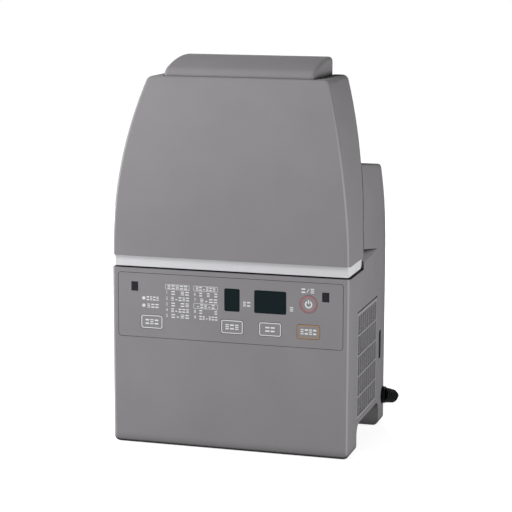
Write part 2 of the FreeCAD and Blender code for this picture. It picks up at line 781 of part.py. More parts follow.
def power_key():
    """The round on-off key."""
    flange_y = PANEL_BACK_Y + KEY_GAP
    centre = V(START_KEY_X, FRONT_Y, POWER_KEY_Z)
    cap = rod(centre, Y_AXIS, POWER_KEY_R, flange_y - FRONT_Y)
    flange = rod(V(centre.x, flange_y, centre.z), Y_AXIS, POWER_KEY_R + KEY_FLANGE, KEY_FLANGE)
    return join([cap, flange, key_stem(START_KEY_X, POWER_KEY_Z)])


def control_board():
    """Printed circuit board behind the panel."""
    half = PANEL_WIDTH / 2 - BOARD_MARGIN
    low = PANEL_LOW_Z + BOARD_MARGIN
    high = PANEL_LOW_Z + PANEL_HEIGHT - BOARD_MARGIN
    board = box(-half, half, BOARD_Y, BOARD_Y + BOARD_THICK, low, high)
    hole_r = SCREW_R + SCREW_PLAY
    holes = [rod(V(x, BOARD_Y - 1, z), Y_AXIS, hole_r, BOARD_THICK + 2) for x, z in board_posts()]
    return board.cut(holes)


def board_screws():
    """Screws that hold the two boards to their posts."""
    screws = []
    for x, z in board_posts():
        seat = V(x, BOARD_Y + BOARD_THICK, z)
        head = rod(seat, Y_AXIS, SCREW_HEAD_R, SCREW_HEAD_H)
        screws.append(head.fuse(rod(seat, -Y_AXIS, SCREW_R, SCREW_LENGTH)).removeSplitter())
    for y, z in power_posts():
        seat = V(WALL - SIDE_X + POWER_POST + BOARD_THICK, y, z)
        head = rod(seat, X_AXIS, SCREW_HEAD_R, SCREW_HEAD_H)
        screws.append(head.fuse(rod(seat, -X_AXIS, SCREW_R, SCREW_LENGTH)).removeSplitter())
    return Part.makeCompound(screws)


def key_switches():
    """One small push switch under each key."""
    places = [(x, KEY_ROW_Z) for x in KEYS.values()] + [(START_KEY_X, POWER_KEY_Z)]
    half = SWITCH_SIZE / 2
    front = BOARD_Y - SWITCH_HEIGHT
    switches = []
    for x, z in places:
        case = box(x - half, x + half, front, BOARD_Y, z - half, z + half)
        bore = rod(V(x, front - 1, z), Y_AXIS, KEY_STEM_R + SWITCH_CLEARANCE, SWITCH_BORE + 1)
        switches.append(case.cut(bore))
    return Part.makeCompound(switches)


def digit_modules():
    """The two numeral display blocks on the board."""
    front = PANEL_BACK_Y + SKIN_GAP
    blocks = []
    for x, width in ((COURSE_KEY_X, COURSE_WINDOW_WIDTH), (TIME_KEY_X, TIME_WINDOW_WIDTH)):
        blocks.append(window_block(x, width, -MODULE_MARGIN, front, BOARD_Y))
    return Part.makeCompound(blocks)


# Lid
def lid_front(z, inset):
    """Y of the lid's front surface at a height."""
    radius = LID_FRONT_RADIUS - inset
    rise = max(z - LID_FRONT_ARC_Z, 0.0)
    return FRONT_Y + LID_FRONT_RADIUS - math.sqrt(radius ** 2 - rise ** 2)


def lid_profile(inset, low, high, rear):
    """The lid's side view as a face at X = 0: upright, then leaning back along an arc."""
    def at(y, z):
        return V(0, y, z)

    middle = (LID_FRONT_ARC_Z + high) / 2
    front = FRONT_Y + inset
    arc = [at(lid_front(z, inset), z) for z in (LID_FRONT_ARC_Z, middle, high)]
    edges = [
        Part.LineSegment(at(front, low), arc[0]),
        Part.Arc(*arc),
        Part.LineSegment(arc[2], at(rear(high), high)),
        Part.LineSegment(at(rear(high), high), at(rear(SPLIT_BEND_Z), SPLIT_BEND_Z)),
        Part.LineSegment(at(rear(SPLIT_BEND_Z), SPLIT_BEND_Z), at(rear(low), low)),
        Part.LineSegment(at(rear(low), low), at(front, low)),
    ]
    return Part.Face(Part.Wire([edge.toShape() for edge in edges]))


def across(face, half_width_x):
    """A face at X = 0 made into a block of that half width."""
    block = face.extrude(V(2 * half_width_x, 0, 0))
    block.translate(V(-half_width_x, 0, 0))
    return block


def lid_outside():
    """The lid's outer form with its rounded upper corners and front edges."""
    profile = across(lid_profile(0.0, LID_Z, LID_TOP_Z, lambda z: split_y(z) - LID_GAP), SIDE_X)
    sides = side_block(LID_Z, LID_TOP_Z, LID_GAP, 0.0, FRONT_Y - 1, split_y(LID_TOP_Z) + 1)
    corner_z = LID_TOP_Z - 0.01
    sides = fillet_where(sides, LID_CORNER_R, lambda edge: all(
        p.z > corner_z for p in samples(edge)) and abs(samples(edge)[0].x - samples(edge)[-1].x) < 0.01)
    form = profile.common(sides)

    def on_front(edge):
        points = samples(edge)
        flush = all(abs(p.y - lid_front(p.z, 0.0)) < 0.05 for p in points)
        seam = max(p.z for p in points) - min(p.z for p in points) < 0.01
        return flush and not (seam and points[0].z < LID_FRONT_ARC_Z + 1)
    return fillet_where(form, EDGE_R, on_front)


def lid_shell():
    """Hood-shaped lid, open below and behind, with an ear at each end of the handle."""
    form = lid_outside()
    back = split_y(LID_TOP_Z) + SPLIT_DEPTH
    inner = across(lid_profile(LID_WALL, LID_Z - 1, LID_TOP_Z - LID_WALL, lambda z: back), SIDE_X)
    inset = LID_GAP + LID_WALL
    hollow = inner.common(
        side_block(LID_Z - 1, LID_TOP_Z - LID_WALL, inset, 0.0, FRONT_Y - 1, back + 1))
    ear_top = LID_TOP_Z + 1
    ears = [
        box(EAR_X, EAR_X + EAR_THICK, FRONT_Y, back, EAR_LOW_Z, ear_top),
        box(-EAR_X - EAR_THICK, -EAR_X, FRONT_Y, back, EAR_LOW_Z, ear_top),
    ]
    top = across(lid_profile(LID_WALL, EAR_LOW_Z - 1, LID_TOP_Z + 1, lambda z: back), EAR_X)
    top = top.common(box(-EAR_X, EAR_X, FRONT_Y, back, EAR_LOW_Z, ear_top))
    swing = rod(V(-EAR_X, HINGE_Y, HINGE_Z), X_AXIS, LIP_SWING_R, 2 * EAR_X)
    lip = lid_flange_hollow(back)
    shell = form.cut(hollow.cut(ears + [lip])).cut([top, swing])
    bores = []
    for side in (-1, 1):
        start = V(side * (EAR_X - 1), HINGE_Y, HINGE_Z)
        bores.append(rod(start, X_AXIS * side, PIN_R + PIN_RUNNING, PIN_REACH + 1.5))
    return shell.cut(bores)


def lid_flange_hollow(back):
    """The inward flange round the lid's lower edge, which carries the trim band."""
    inset = LID_GAP + LID_FLANGE
    block = box(-SIDE_X, SIDE_X, FRONT_Y, split_y(LID_Z) - LID_GAP, LID_Z - 1, LID_Z + LID_WALL)
    opening = side_block(LID_Z - 2, LID_Z + 2 * LID_WALL, inset, 0.0, FRONT_Y + LID_FLANGE, back)
    return block.cut(opening)


def lid_liner():
    """Inner panel behind the lid's front wall."""
    low, high = LID_Z + LINER_LOW, LID_TOP_Z - LINER_HIGH
    near, far = LID_WALL + SKIN_GAP, LID_WALL + SKIN_GAP + LINER_THICK
    back = SPLIT_Y
    front = across(lid_profile(near, low, high, lambda z: back), SIDE_X)
    rear = across(lid_profile(far, low - 1, high + 1, lambda z: back + 1), SIDE_X)
    inset = LID_GAP + LINER_MARGIN
    return front.cut(rear).common(side_block(low - 1, high + 1, inset, 0.0, FRONT_Y, back))


def lid_trim():
    """Pale band round the lid's lower edge."""
    x = half_width(LID_Z, LID_GAP) - TRIM_INSET
    low, high = DECK_Z + TRIM_GAP, LID_Z
    front = FRONT_Y + TRIM_INSET
    rear = SPLIT_Y - LID_GAP - TRIM_END_SETBACK
    radius = EDGE_R - TRIM_INSET
    outer = rounded_face(
        [V(-x, front, low), V(x, front, low), V(x, rear, low), V(-x, rear, low)], [radius, radius, 0, 0])
    inner_x = x - TRIM_THICK
    inner = box(-inner_x, inner_x, front + TRIM_THICK, rear + 1, low - 1, high + 1)
    band = outer.extrude(V(0, 0, high - low)).cut(inner)
    return fillet_where(band, TRIM_END_R, lambda edge: all(
        abs(p.y - rear) < 0.01 and abs(p.z - low) < 0.01 for p in samples(edge)))


# Hinge and handle
def handle_block(inset, low, half):
    """The handle's form: upright in front, a long low dome on top and a flat back."""
    front, rear = FRONT_Y + HANDLE_FRONT + inset, FRONT_Y + HANDLE_REAR - inset
    crest = FRONT_Y + HANDLE_CREST
    radius = HANDLE_DOME_R - inset
    centre_z = HANDLE_CREST_Z - HANDLE_DOME_R

    def on_dome(y):
        return V(0, y, centre_z + math.sqrt(radius ** 2 - (y - crest) ** 2))

    start, end = on_dome(front), on_dome(rear)
    edges = [
        Part.Arc(start, on_dome((front + rear) / 2), end),
        Part.LineSegment(end, V(0, rear, low)),
        Part.LineSegment(V(0, rear, low), V(0, front, low)),
        Part.LineSegment(V(0, front, low), start),
    ]
    block = across(Part.Face(Part.Wire([edge.toShape() for edge in edges])), half)
    for corner, size in ((start, HANDLE_FRONT_R - inset), (end, HANDLE_REAR_R - inset)):
        block = fillet_where(block, size, lambda edge: all(
            math.hypot(p.y - corner.y, p.z - corner.z) < 0.01 for p in samples(edge)))
    return block


def carry_handle():
    """Hollow handle on the tower, with a hand hold let into its back."""
    half = HANDLE_LENGTH / 2
    solid = handle_block(0.0, HANDLE_BASE_Z, half)
    solid = fillet_where(solid, HANDLE_END_R, lambda edge: all(
        abs(abs(p.x) - half) < 0.01 for p in samples(edge)) and max(
        p.z for p in samples(edge)) > HANDLE_BASE_Z + 0.1)
    hollow = handle_block(HANDLE_WALL, HANDLE_BASE_Z - 1, half - HANDLE_WALL)
    rear = FRONT_Y + HANDLE_REAR
    low = HANDLE_BASE_Z + HANDLE_WALL

    def grip(margin, back):
        x = GRIP_LENGTH / 2 + margin
        return box(-x, x, rear - GRIP_DEPTH - margin, back, low - margin, low + GRIP_HEIGHT + margin)

    bosses = [rod(V(side * (half - HANDLE_WALL / 2), HINGE_Y, HINGE_Z), X_AXIS * -side, BOSS_R, PIN_SEAT)
              for side in (-1, 1)]
    kept = [piece.common(solid) for piece in [grip(HANDLE_WALL, rear)] + bosses]
    shell = join([solid.cut(hollow)] + kept)
    bores = [rod(V(side * (half + 1), HINGE_Y, HINGE_Z), X_AXIS * -side, PIN_R, PIN_SEAT + 1)
             for side in (-1, 1)]
    return shell.cut([grip(0.0, rear + 1)] + bores)


def hinge_pins():
    """Two pins, fast in the handle's ends and free in the lid's ears."""
    start = HANDLE_LENGTH / 2 - PIN_SEAT
    length = PIN_SEAT + EAR_GAP + PIN_REACH
    pins = [rod(V(side * start, HINGE_Y, HINGE_Z), X_AXIS * side, PIN_R, length) for side in (-1, 1)]
    return Part.makeCompound(pins)


def friction_washers():
    """Washers that hold the lid where it is put."""
    washers = []
    for side in (-1, 1):
        start = V(side * HANDLE_LENGTH / 2, HINGE_Y, HINGE_Z)
        disc = rod(start, X_AXIS * side, WASHER_R, EAR_GAP - WASHER_PLAY)
        washers.append(disc.cut(rod(start, X_AXIS * side, PIN_R, EAR_GAP)))
    return Part.makeCompound(washers)


# Outlet tower
def tower_front(z):
    """Y of the tower's front at a height."""
    lean = (TOWER_TOP_SETBACK - TOWER_SETBACK) / (HANDLE_BASE_Z - LID_FRONT_ARC_Z)
    return TOWER_FRONT_Y + lean * max(z - LID_FRONT_ARC_Z, 0.0)


def tower_form(inset, low):
    """The tower's outer form, or its hollow when inset is the wall."""
    top = HANDLE_BASE_Z - inset
    rear = SEAM_GAP + inset * math.hypot(1.0, SPLIT_LEAN)
    profile = yz_prism([
        (TOWER_FRONT_Y + inset, low),
        (TOWER_FRONT_Y + inset, LID_FRONT_ARC_Z),
        (tower_front(top) + inset, top),
        (split_y(top) - rear, top),
        (split_y(SPLIT_BEND_Z) - rear, SPLIT_BEND_Z),
        (split_y(low) - rear, low),
    ], SIDE_X)
    half = [
        (TOWER_BASE_HALF - inset, low),
        (TOWER_BASE_HALF - inset, TOWER_BASE_Z),
        (TOWER_TOP_HALF - inset, TOWER_NECK_Z),
        (TOWER_TOP_HALF - inset, top),
    ]
    outline = half + [(-x, z) for x, z in reversed(half)]
    face = polygon([V(x, FRONT_Y, z) for x, z in outline])
    return profile.common(face.extrude(V(0, BODY_DEPTH, 0)))


def upper_outlet_turn(shape):
    """Lean a grille or cutter back onto the tower's sloping front."""
    rise = HANDLE_BASE_Z - LID_FRONT_ARC_Z
    angle = math.degrees(math.atan2(TOWER_TOP_SETBACK - TOWER_SETBACK, rise))
    shape.rotate(V(0, TOWER_FRONT_Y, LID_FRONT_ARC_Z), X_AXIS, -angle)
    return shape


def outlet_tower():
    """Upright air duct on the deck that carries the handle and the outlet grilles."""
    shell = tower_form(0.0, DECK_Z).cut(tower_form(TOWER_WALL, DECK_Z + TOWER_WALL))
    half = OUTLET_WIDTH / 2
    low_top = OUTLET_LOW_Z + OUTLET_LOW_HEIGHT
    deep = TOWER_FRONT_Y + 3 * TOWER_WALL
    lower = box(-half, half, TOWER_FRONT_Y - 1, deep, OUTLET_LOW_Z, low_top)
    half = UPPER_OUTLET_WIDTH / 2
    upper_top = UPPER_OUTLET_LOW_Z + UPPER_OUTLET_HEIGHT
    upper = box(-half, half, TOWER_FRONT_Y - 1, deep, UPPER_OUTLET_LOW_Z, upper_top)
    port = AIR_PORT_WIDTH / 2
    port_top = AIR_PORT_LOW_Z + AIR_PORT_HEIGHT
    back = box(-port, port, SPLIT_Y - 4 * TOWER_WALL, split_y(port_top) + 1, AIR_PORT_LOW_Z, port_top)
    return shell.cut([lower, upper_outlet_turn(upper), back])


def outlet_grille(width, low, height):
    """Louvred insert for an upright outlet."""
    half = width / 2 - SKIN_GAP
    z0, z1 = low + SKIN_GAP, low + height - SKIN_GAP
    front, back = TOWER_FRONT_Y - GRILLE_FACE, TOWER_FRONT_Y + TOWER_WALL
    reach, low, high = half + GRILLE_RIM, z0 - GRILLE_RIM, z1 + GRILLE_RIM
    rim = plate(-reach, reach, low, high, front, TOWER_FRONT_Y, GRILLE_R)
    plug = box(-half, half, TOWER_FRONT_Y, back, z0, z1)
    wall = TOWER_WALL
    opening = box(wall - half, half - wall, front - 1, back + 1, z0 + wall, z1 - wall)
    count = int((height - 2 * wall) // GRILLE_PITCH)
    step = (z1 - z0 - 2 * wall) / (count + 1)
    bars = []
    for i in range(count):
        z = z0 + wall + step * (i + 1)
        bars.append(box(-half, half, front, back, z - GRILLE_BAR / 2, z + GRILLE_BAR / 2))
    spine = box(-GRILLE_BAR, GRILLE_BAR, front, back, z0, z1)
    return join([rim.fuse(plug).cut(opening)] + bars + [spine])


def upper_outlet_grille():
    """Louvred insert for the sloping part of the tower."""
    grille = outlet_grille(UPPER_OUTLET_WIDTH, UPPER_OUTLET_LOW_Z, UPPER_OUTLET_HEIGHT)
    return upper_outlet_turn(grille)


# Air intake
def intake_cover():
    """Flush slotted cover over the air filter."""
    y0, y1 = VENT_Y + VENT_GAP, VENT_Y + VENT_LENGTH - VENT_GAP
    z0, z1 = VENT_LOW_Z + VENT_GAP, VENT_LOW_Z + VENT_HEIGHT - VENT_SLIT
    face = box(SIDE_X - VENT_REBATE, SIDE_X, y0, y1, z0, z1)
    pitch_y = (y1 - y0 - 2 * VENT_RIM + SLOT_RIB) / SLOT_COLUMNS
    pitch_z = (z1 - z0 - 2 * VENT_RIM + SLOT_BAR) / SLOT_ROWS
    width, height = pitch_y - SLOT_RIB, pitch_z - SLOT_BAR
    slots = []
    for column in range(SLOT_COLUMNS):
        for row in range(SLOT_ROWS):
            y = y0 + VENT_RIM + column * pitch_y
            z = z0 + VENT_RIM + row * pitch_z
            slots.append(box(SIDE_X - WALL, SIDE_X + 1, y, y + width, z, z + height))
    return face.cut(slots)


def filter_pad():
    """Dust filter clipped behind the intake cover."""
    lip = VENT_LEDGE + VENT_GAP
    x1 = SIDE_X - VENT_REBATE
    return box(x1 - PAD_THICK, x1, VENT_Y + lip, VENT_Y + VENT_LENGTH - lip,
               VENT_LOW_Z + lip, VENT_LOW_Z + VENT_HEIGHT - lip)


# Blower, heater and power board
def blower_housing():
    """Scroll housing with its inlet on the right and its outlet upwards."""
    centre = V(-SCROLL_HALF, BLOWER_Y, BLOWER_Z)
    drum = rod(centre, X_AXIS, SCROLL_R, 2 * SCROLL_HALF)
    y0, y1 = BLOWER_Y + DUCT_SETBACK, BLOWER_Y + SCROLL_R
    duct = box(-SCROLL_HALF, SCROLL_HALF, y0, y1, BLOWER_Z, DUCT_TOP_Z)
    stand = box(-SCROLL_HALF / 2, SCROLL_HALF / 2, BLOWER_Y - SCROLL_R / 3, BLOWER_Y + SCROLL_R / 3,
                FLOOR_Z, BLOWER_Z - SCROLL_R + BLOWER_FOOT)
    wall = SCROLL_WALL
    inside = rod(centre + X_AXIS * wall, X_AXIS, SCROLL_R - wall, 2 * (SCROLL_HALF - wall))
    x = SCROLL_HALF - wall
    throat = box(-x, x, y0 + wall, y1 - wall, BLOWER_Z, DUCT_TOP_Z + 1)
    inlet = rod(V(0, BLOWER_Y, BLOWER_Z), X_AXIS, INLET_R, SCROLL_HALF + 1)
    shaft_way = rod(V(0, BLOWER_Y, BLOWER_Z), -X_AXIS, SHAFT_R + SCROLL_WALL, SCROLL_HALF + 1)
    return join([drum, duct, stand]).cut([inside, throat, inlet, shaft_way])


def impeller():
    """Drum of blades between a hub disc and a rim ring."""
    start = V(-IMPELLER_HALF, BLOWER_Y, BLOWER_Z)
    disc = rod(start, X_AXIS, IMPELLER_R, DISC_THICK)
    hub = rod(start, X_AXIS, HUB_R, HUB_LENGTH)
    ring_start = V(IMPELLER_HALF - DISC_THICK, BLOWER_Y, BLOWER_Z)
    inner_r = IMPELLER_R - BLADE_DEPTH
    ring = rod(ring_start, X_AXIS, IMPELLER_R, DISC_THICK).cut(rod(ring_start, X_AXIS, inner_r, DISC_THICK))
    blades = []
    deep, thick = BLADE_DEPTH / 2, BLADE_THICK / 2
    for i in range(BLADE_COUNT):
        blade = box(-IMPELLER_HALF, IMPELLER_HALF, -deep, deep, -thick, thick)
        blade.rotate(V(), X_AXIS, BLADE_SKEW)
        blade.translate(V(0, BLOWER_Y + IMPELLER_R - BLADE_DEPTH / 2 - BLADE_THICK, BLOWER_Z))
        blade.rotate(V(0, BLOWER_Y, BLOWER_Z), X_AXIS, 360.0 * i / BLADE_COUNT)
        blades.append(blade)
    wheel = join([disc, hub, ring] + blades)
    return wheel.cut(rod(start - X_AXIS, X_AXIS, SHAFT_R, HUB_LENGTH + 2))


def motor_shaft():
    """Shaft through the motor into the impeller's hub."""
    start = -SCROLL_HALF - MOTOR_LENGTH + MOTOR_CAP
    end = -IMPELLER_HALF + HUB_LENGTH
    return rod(V(start, BLOWER_Y, BLOWER_Z), X_AXIS, SHAFT_R, end - start)


def fan_motor():
    """Motor on the left-hand face of the blower."""
    seat = V(-SCROLL_HALF, BLOWER_Y, BLOWER_Z)
    can = rod(seat, -X_AXIS, MOTOR_R, MOTOR_LENGTH)
    can = fillet_where(can, MOTOR_EDGE_R, lambda edge: edge.isClosed() and all(
        p.x < -SCROLL_HALF - 1 for p in samples(edge)))
    return can.cut(rod(seat + X_AXIS, -X_AXIS, SHAFT_R + SHAFT_RUNNING, MOTOR_LENGTH - MOTOR_CAP + 1))


def heater_box(inset, low, high):
    """A block over the blower's outlet."""
    x = SCROLL_HALF - inset
    return box(-x, x, BLOWER_Y + DUCT_SETBACK + inset, BLOWER_Y + SCROLL_R - inset, low, high)


def heater_frame():
    """Heat-proof frame on the blower's outlet."""
    top = DUCT_TOP_Z + HEATER_HEIGHT
    return heater_box(0.0, DUCT_TOP_Z, top).cut(heater_box(HEATER_WALL, DUCT_TOP_Z - 1, top + 1))


def heater_core():
    """Finned heating block held in the frame."""
    low, high = DUCT_TOP_Z + HEATER_WALL, DUCT_TOP_Z + HEATER_HEIGHT - HEATER_WALL
    half = SCROLL_HALF - HEATER_WALL
    y0, y1 = BLOWER_Y + DUCT_SETBACK + HEATER_WALL, BLOWER_Y + SCROLL_R - HEATER_WALL
    bars = [box(-half, half, y0, y0 + FIN_BAR, low, high), box(-half, half, y1 - FIN_BAR, y1, low, high)]
    step = 2 * half / (FIN_COUNT + 1)
    for i in range(FIN_COUNT):
        x = step * (i + 1) - half
        bars.append(box(x - FIN_THICK / 2, x + FIN_THICK / 2, y0, y1, low, high))
    return join(bars)


def thermostat():
    """Heat cut-out on the heater frame."""
    seat = V(0, BLOWER_Y + DUCT_SETBACK, DUCT_TOP_Z + HEATER_HEIGHT / 2)
    cup = rod(seat, -Y_AXIS, THERMOSTAT_R, THERMOSTAT_H)
    y1, gauge = seat.y - THERMOSTAT_H, TAB_GAUGE / 2
    tabs = []
    for side in (-1, 1):
        x0 = (side * TAB_SPACING - TAB_WIDTH) / 2
        tabs.append(box(x0, x0 + TAB_WIDTH, y1 - TAB_LENGTH, y1, seat.z - gauge, seat.z + gauge))
    return join([cup] + tabs)


def power_board():
    """Mains board on the left-hand wall."""
    y, z = power_board_centre()
    x = WALL - SIDE_X + POWER_POST
    dy, dz = POWER_BOARD_LENGTH / 2, POWER_BOARD_HEIGHT / 2
    board = box(x, x + BOARD_THICK, y - dy, y + dy, z - dz, z + dz)
    hole_r = SCREW_R + SCREW_PLAY
    holes = [rod(V(x - 1, py, pz), X_AXIS, hole_r, BOARD_THICK + 2) for py, pz in power_posts()]
    return board.cut(holes)


def power_components():
    """Transformer, relay and capacitor on the mains board."""
    y, z = power_board_centre()
    x = WALL - SIDE_X + POWER_POST + BOARD_THICK
    low, left = z - POWER_BOARD_HEIGHT / 2 + COMPONENT_MARGIN, y - POWER_BOARD_LENGTH / 2 + COMPONENT_MARGIN
    right = y + COMPONENT_MARGIN
    places = (
        (TRANSFORMER_LENGTH, TRANSFORMER_HEIGHT, TRANSFORMER_RISE, left, low),
        (RELAY_LENGTH, RELAY_HEIGHT, RELAY_RISE, right, low),
        (CAPACITOR_LENGTH, CAPACITOR_HEIGHT, CAPACITOR_RISE, right, z + 2 * COMPONENT_MARGIN),
    )
    blocks = []
    for length, height, rise, y0, z0 in places:
        block = box(x, x + rise, y0, y0 + length, z0, z0 + height)
        top = [e for e in block.Edges if e.BoundBox.XMin > x + rise / 2]
        blocks.append(block.makeFillet(COMPONENT_R, top))
    return Part.makeCompound(blocks)


# Mains cord
def boot_direction():
    """Unit vector along the cord boot's tail."""
    turn, droop = math.radians(BOOT_TURN), math.radians(BOOT_DROOP)
    return V(math.cos(turn) * math.cos(droop), math.sin(turn) * math.cos(droop), -math.sin(droop))


def boot_tip():
    """Where the cord leaves the boot."""
    return V(SIDE_X, BOOT_Y, BOOT_Z) + boot_direction() * BOOT_TAIL


def cord_boot():
    """Ribbed strain relief at the casing's rear right-hand edge."""
    root = V(SIDE_X, BOOT_Y, BOOT_Z)
    along = boot_direction()
    neck = rod(root - X_AXIS * BOOT_INNER, X_AXIS, BOOT_NECK_R, BOOT_INNER + BOOT_COLLAR)
    collar = rod(root, X_AXIS, BOOT_COLLAR_R, BOOT_COLLAR)
    tail = Part.makeCone(BOOT_ROOT_R, BOOT_TIP_R, BOOT_TAIL, root, along)
    pieces = [neck, collar, tail]
    for i in range(RIB_COUNT):
        s = RIB_START + i * RIB_PITCH
        radius = BOOT_ROOT_R + (BOOT_TIP_R - BOOT_ROOT_R) * s / BOOT_TAIL + RIB_PROUD
        pieces.append(rod(root + along * (s - RIB_THICK / 2), along, radius, RIB_THICK))
    outside = box(SIDE_X, SIDE_X + 2 * BOOT_TAIL, BOOT_Y - BOOT_TAIL, BOOT_Y + 2 * BOOT_TAIL, 0, 2 * BOOT_Z)
    return join([neck] + [piece.common(outside) for piece in pieces[1:]])


def run_wire(points):
    """Straight runs joined by tangent arcs, each as large as its two runs allow."""
    edges, radii, last = [], [], points[0]
    for i in range(1, len(points) - 1):
        back = points[i - 1] - points[i]
        ahead = points[i + 1] - points[i]
        reach = 0.45 * min(back.Length, ahead.Length)
        half = back.getAngle(ahead) / 2
        radii.append(reach * math.tan(half))
        entry = points[i] + back.normalize() * reach
        leave = points[i] + ahead.normalize() * reach
        inward = ((entry + leave) * 0.5 - points[i]).normalize()
        middle = points[i] + inward * (radii[-1] / math.sin(half) - radii[-1])
        edges.append(Part.LineSegment(last, entry).toShape())
        edges.append(Part.Arc(entry, middle, leave).toShape())
        last = leave
    edges.append(Part.LineSegment(last, points[-1]).toShape())
    return Part.Wire(edges), radii


def arc_from(start, tangent, end):
    """The arc that leaves start along a tangent and reaches end."""
    chord = end - start
    along = chord.normalize()
    length = (end - start).Length
    side = tangent - along * tangent.dot(along)
    angle = tangent.getAngle(along)
    middle = (start + end) * 0.5 + side.normalize() * (length / 2 * math.tan(angle / 2))
    return Part.Arc(start, middle, end).toShape()


def biarc(start, leave, end, arrive):
    """Two arcs that join two points along given directions."""
    span = end - start
    both = leave + arrive
    gap = 1 - leave.dot(arrive)
    reach = (math.sqrt(span.dot(both) ** 2 + 2 * gap * span.dot(span)) - span.dot(both)) / (2 * gap)
    joint = (start + leave * reach + end - arrive * reach) * 0.5
    return [arc_from(start, leave, joint), arc_from(end, -arrive, joint)]


def coil_point(turns):
    """A point on the coil: clockwise inwards, up a layer, and outwards again."""
    reverse, half_climb = COIL_TURNS / 2, 0.25
    steps = min(turns, COIL_TURNS - turns, reverse - half_climb)
    climb = min(max((turns - reverse + half_climb) / (2 * half_climb), 0.0), 1.0)
    rise = climb * climb * (3 - 2 * climb)
    radius = COIL_R - COIL_STEP * steps - COIL_TUCK * (4 * climb * (1 - climb)) ** 2
    angle = -math.pi / 2 - 2 * math.pi * turns
    start = V(*CORD_POINTS[-1])
    centre = start + Y_AXIS * COIL_R
    return centre + V(radius * math.cos(angle), radius * math.sin(angle), COIL_STEP * rise)


def coil_wire():
    """The coil's path as biarcs of a quarter turn."""
    count = 4 * COIL_TURNS
    points, tangents = [], []
    for i in range(count + 1):
        turns = i / 4
        step = 0.002
        points.append(coil_point(turns))
        ahead, behind = coil_point(min(turns + step, COIL_TURNS)), coil_point(max(turns - step, 0.0))
        tangents.append((ahead - behind).normalize())
    tangents[0] = tangents[-1] = V(-1, 0, 0)
    edges = []
    for i in range(count):
        edges += biarc(points[i], tangents[i], points[i + 1], tangents[i + 1])
    return Part.Wire(Part.__sortEdges__(edges))


def tube(wire):
    """The cord along a path that starts square to its first edge."""
    first = wire.OrderedEdges[0]
    start = wire.OrderedVertexes[0].Point
    parameter = first.getParameterByLength(0) if first.Orientation == "Forward" else first.LastParameter
    circle = Part.Wire(Part.makeCircle(CORD_R, start, first.tangentAt(parameter)))
    solid = wire.makePipeShell([circle], True, False)
    share = solid.Volume / (math.pi * CORD_R ** 2 * wire.Length)
    print(f"cord stretch {wire.Length:.1f} mm, volume over section times length {share:.4f}")
    return solid


def cord_lead():
    """The cord from the boot to the coil behind the casing."""
    tip = boot_tip()
    points = [tip, tip + boot_direction() * CORD_START] + [V(*point) for point in CORD_POINTS]
    wire, radii = run_wire(points)
    print("lead radii", [round(radius, 1) for radius in radii])
    return tube(wire)


def coil_gap(wire):
    """Least clear gap between the coil's own turns, measured on points of its path."""
    points = wire.discretize(Distance=1.5)
    apart = int(math.pi * COIL_R / 4)
    least = min(
        points[i].distanceToPoint(points[j])
        for i in range(len(points))
        for j in range(i + apart, len(points))
    )
    return least - 2 * CORD_R


def cord_coil():
    """The put-away length, wound in two layers."""
    wire = coil_wire()
    print(f"coil least gap to itself {coil_gap(wire):.2f} mm")
    return tube(wire)


def tail_points():
    """Route from the end of the coil to the plug."""
    points = [coil_point(COIL_TURNS)]
    for run in TAIL_RUNS:
        points.append(points[-1] + V(*run))
    return points


def cord_tail():
    """The last stretch of cord, from the coil to the plug."""
    wire, radii = run_wire(tail_points())
    print("tail radii", [round(radius, 1) for radius in radii])
    return tube(wire)


def cord_tie():
    """Strap round the far side of the coil."""
    centre = V(*CORD_POINTS[-1]) + Y_AXIS * COIL_R
    outer_r = COIL_R - COIL_STEP / 2 + CORD_R
    last_r = COIL_R - COIL_STEP * (COIL_TURNS / 2 - 0.5)
    drift = COIL_STEP * TIE_WIDTH / (4 * math.pi * last_r)
    inner_r = math.sqrt((last_r - CORD_R) ** 2 - (TIE_WIDTH / 2) ** 2) - drift
    low = centre.z - CORD_R
    high = centre.z + COIL_STEP + CORD_R

    def loop(grow, half):
        y0, y1 = centre.y + inner_r - grow, centre.y + outer_r + grow
        return box(centre.x - half, centre.x + half, y0, y1, low - grow, high + grow)

    strap = loop(TIE_GAP + TIE_THICK, TIE_WIDTH / 2)
    strap = fillet_where(strap, 2.0, lambda edge: abs(edge.Length - TIE_WIDTH) < 0.01)
    return strap.cut(loop(TIE_GAP, TIE_WIDTH))


def plug_body():
    """Moulded plug with a tapering cord entry."""
    end = tail_points()[-1]
    relief = Part.makeCone(CORD_R + PLUG_MOUTH, CORD_R + PLUG_THROAT, PLUG_RELIEF, end, -X_AXIS)
    x1 = end.x - PLUG_RELIEF
    half = PLUG_WIDTH / 2
    block = box(x1 - PLUG_LENGTH, x1, end.y - half, end.y + half, 0, 2 * end.z)
    block = fillet_where(block, PLUG_R, lambda edge: abs(edge.Length - PLUG_LENGTH) < 0.01)
    return join([block, relief])


def plug_blades():
    """Two flat contact blades."""
    end = tail_points()[-1]
    x1 = end.x - PLUG_RELIEF - PLUG_LENGTH
    blades = []
    for side in (-1, 1):
        y = end.y + side * BLADE_SPACING / 2
        thick, tall = BLADE_GAUGE / 2, BLADE_WIDTH / 2
        blade = box(x1 - BLADE_LENGTH, x1, y - thick, y + thick, end.z - tall, end.z + tall)
        nose = [e for e in blade.Edges if e.BoundBox.XMax < x1 - BLADE_LENGTH / 2]
        blades.append(blade.makeChamfer(BLADE_CHAMFER, nose))
    return Part.makeCompound(blades)


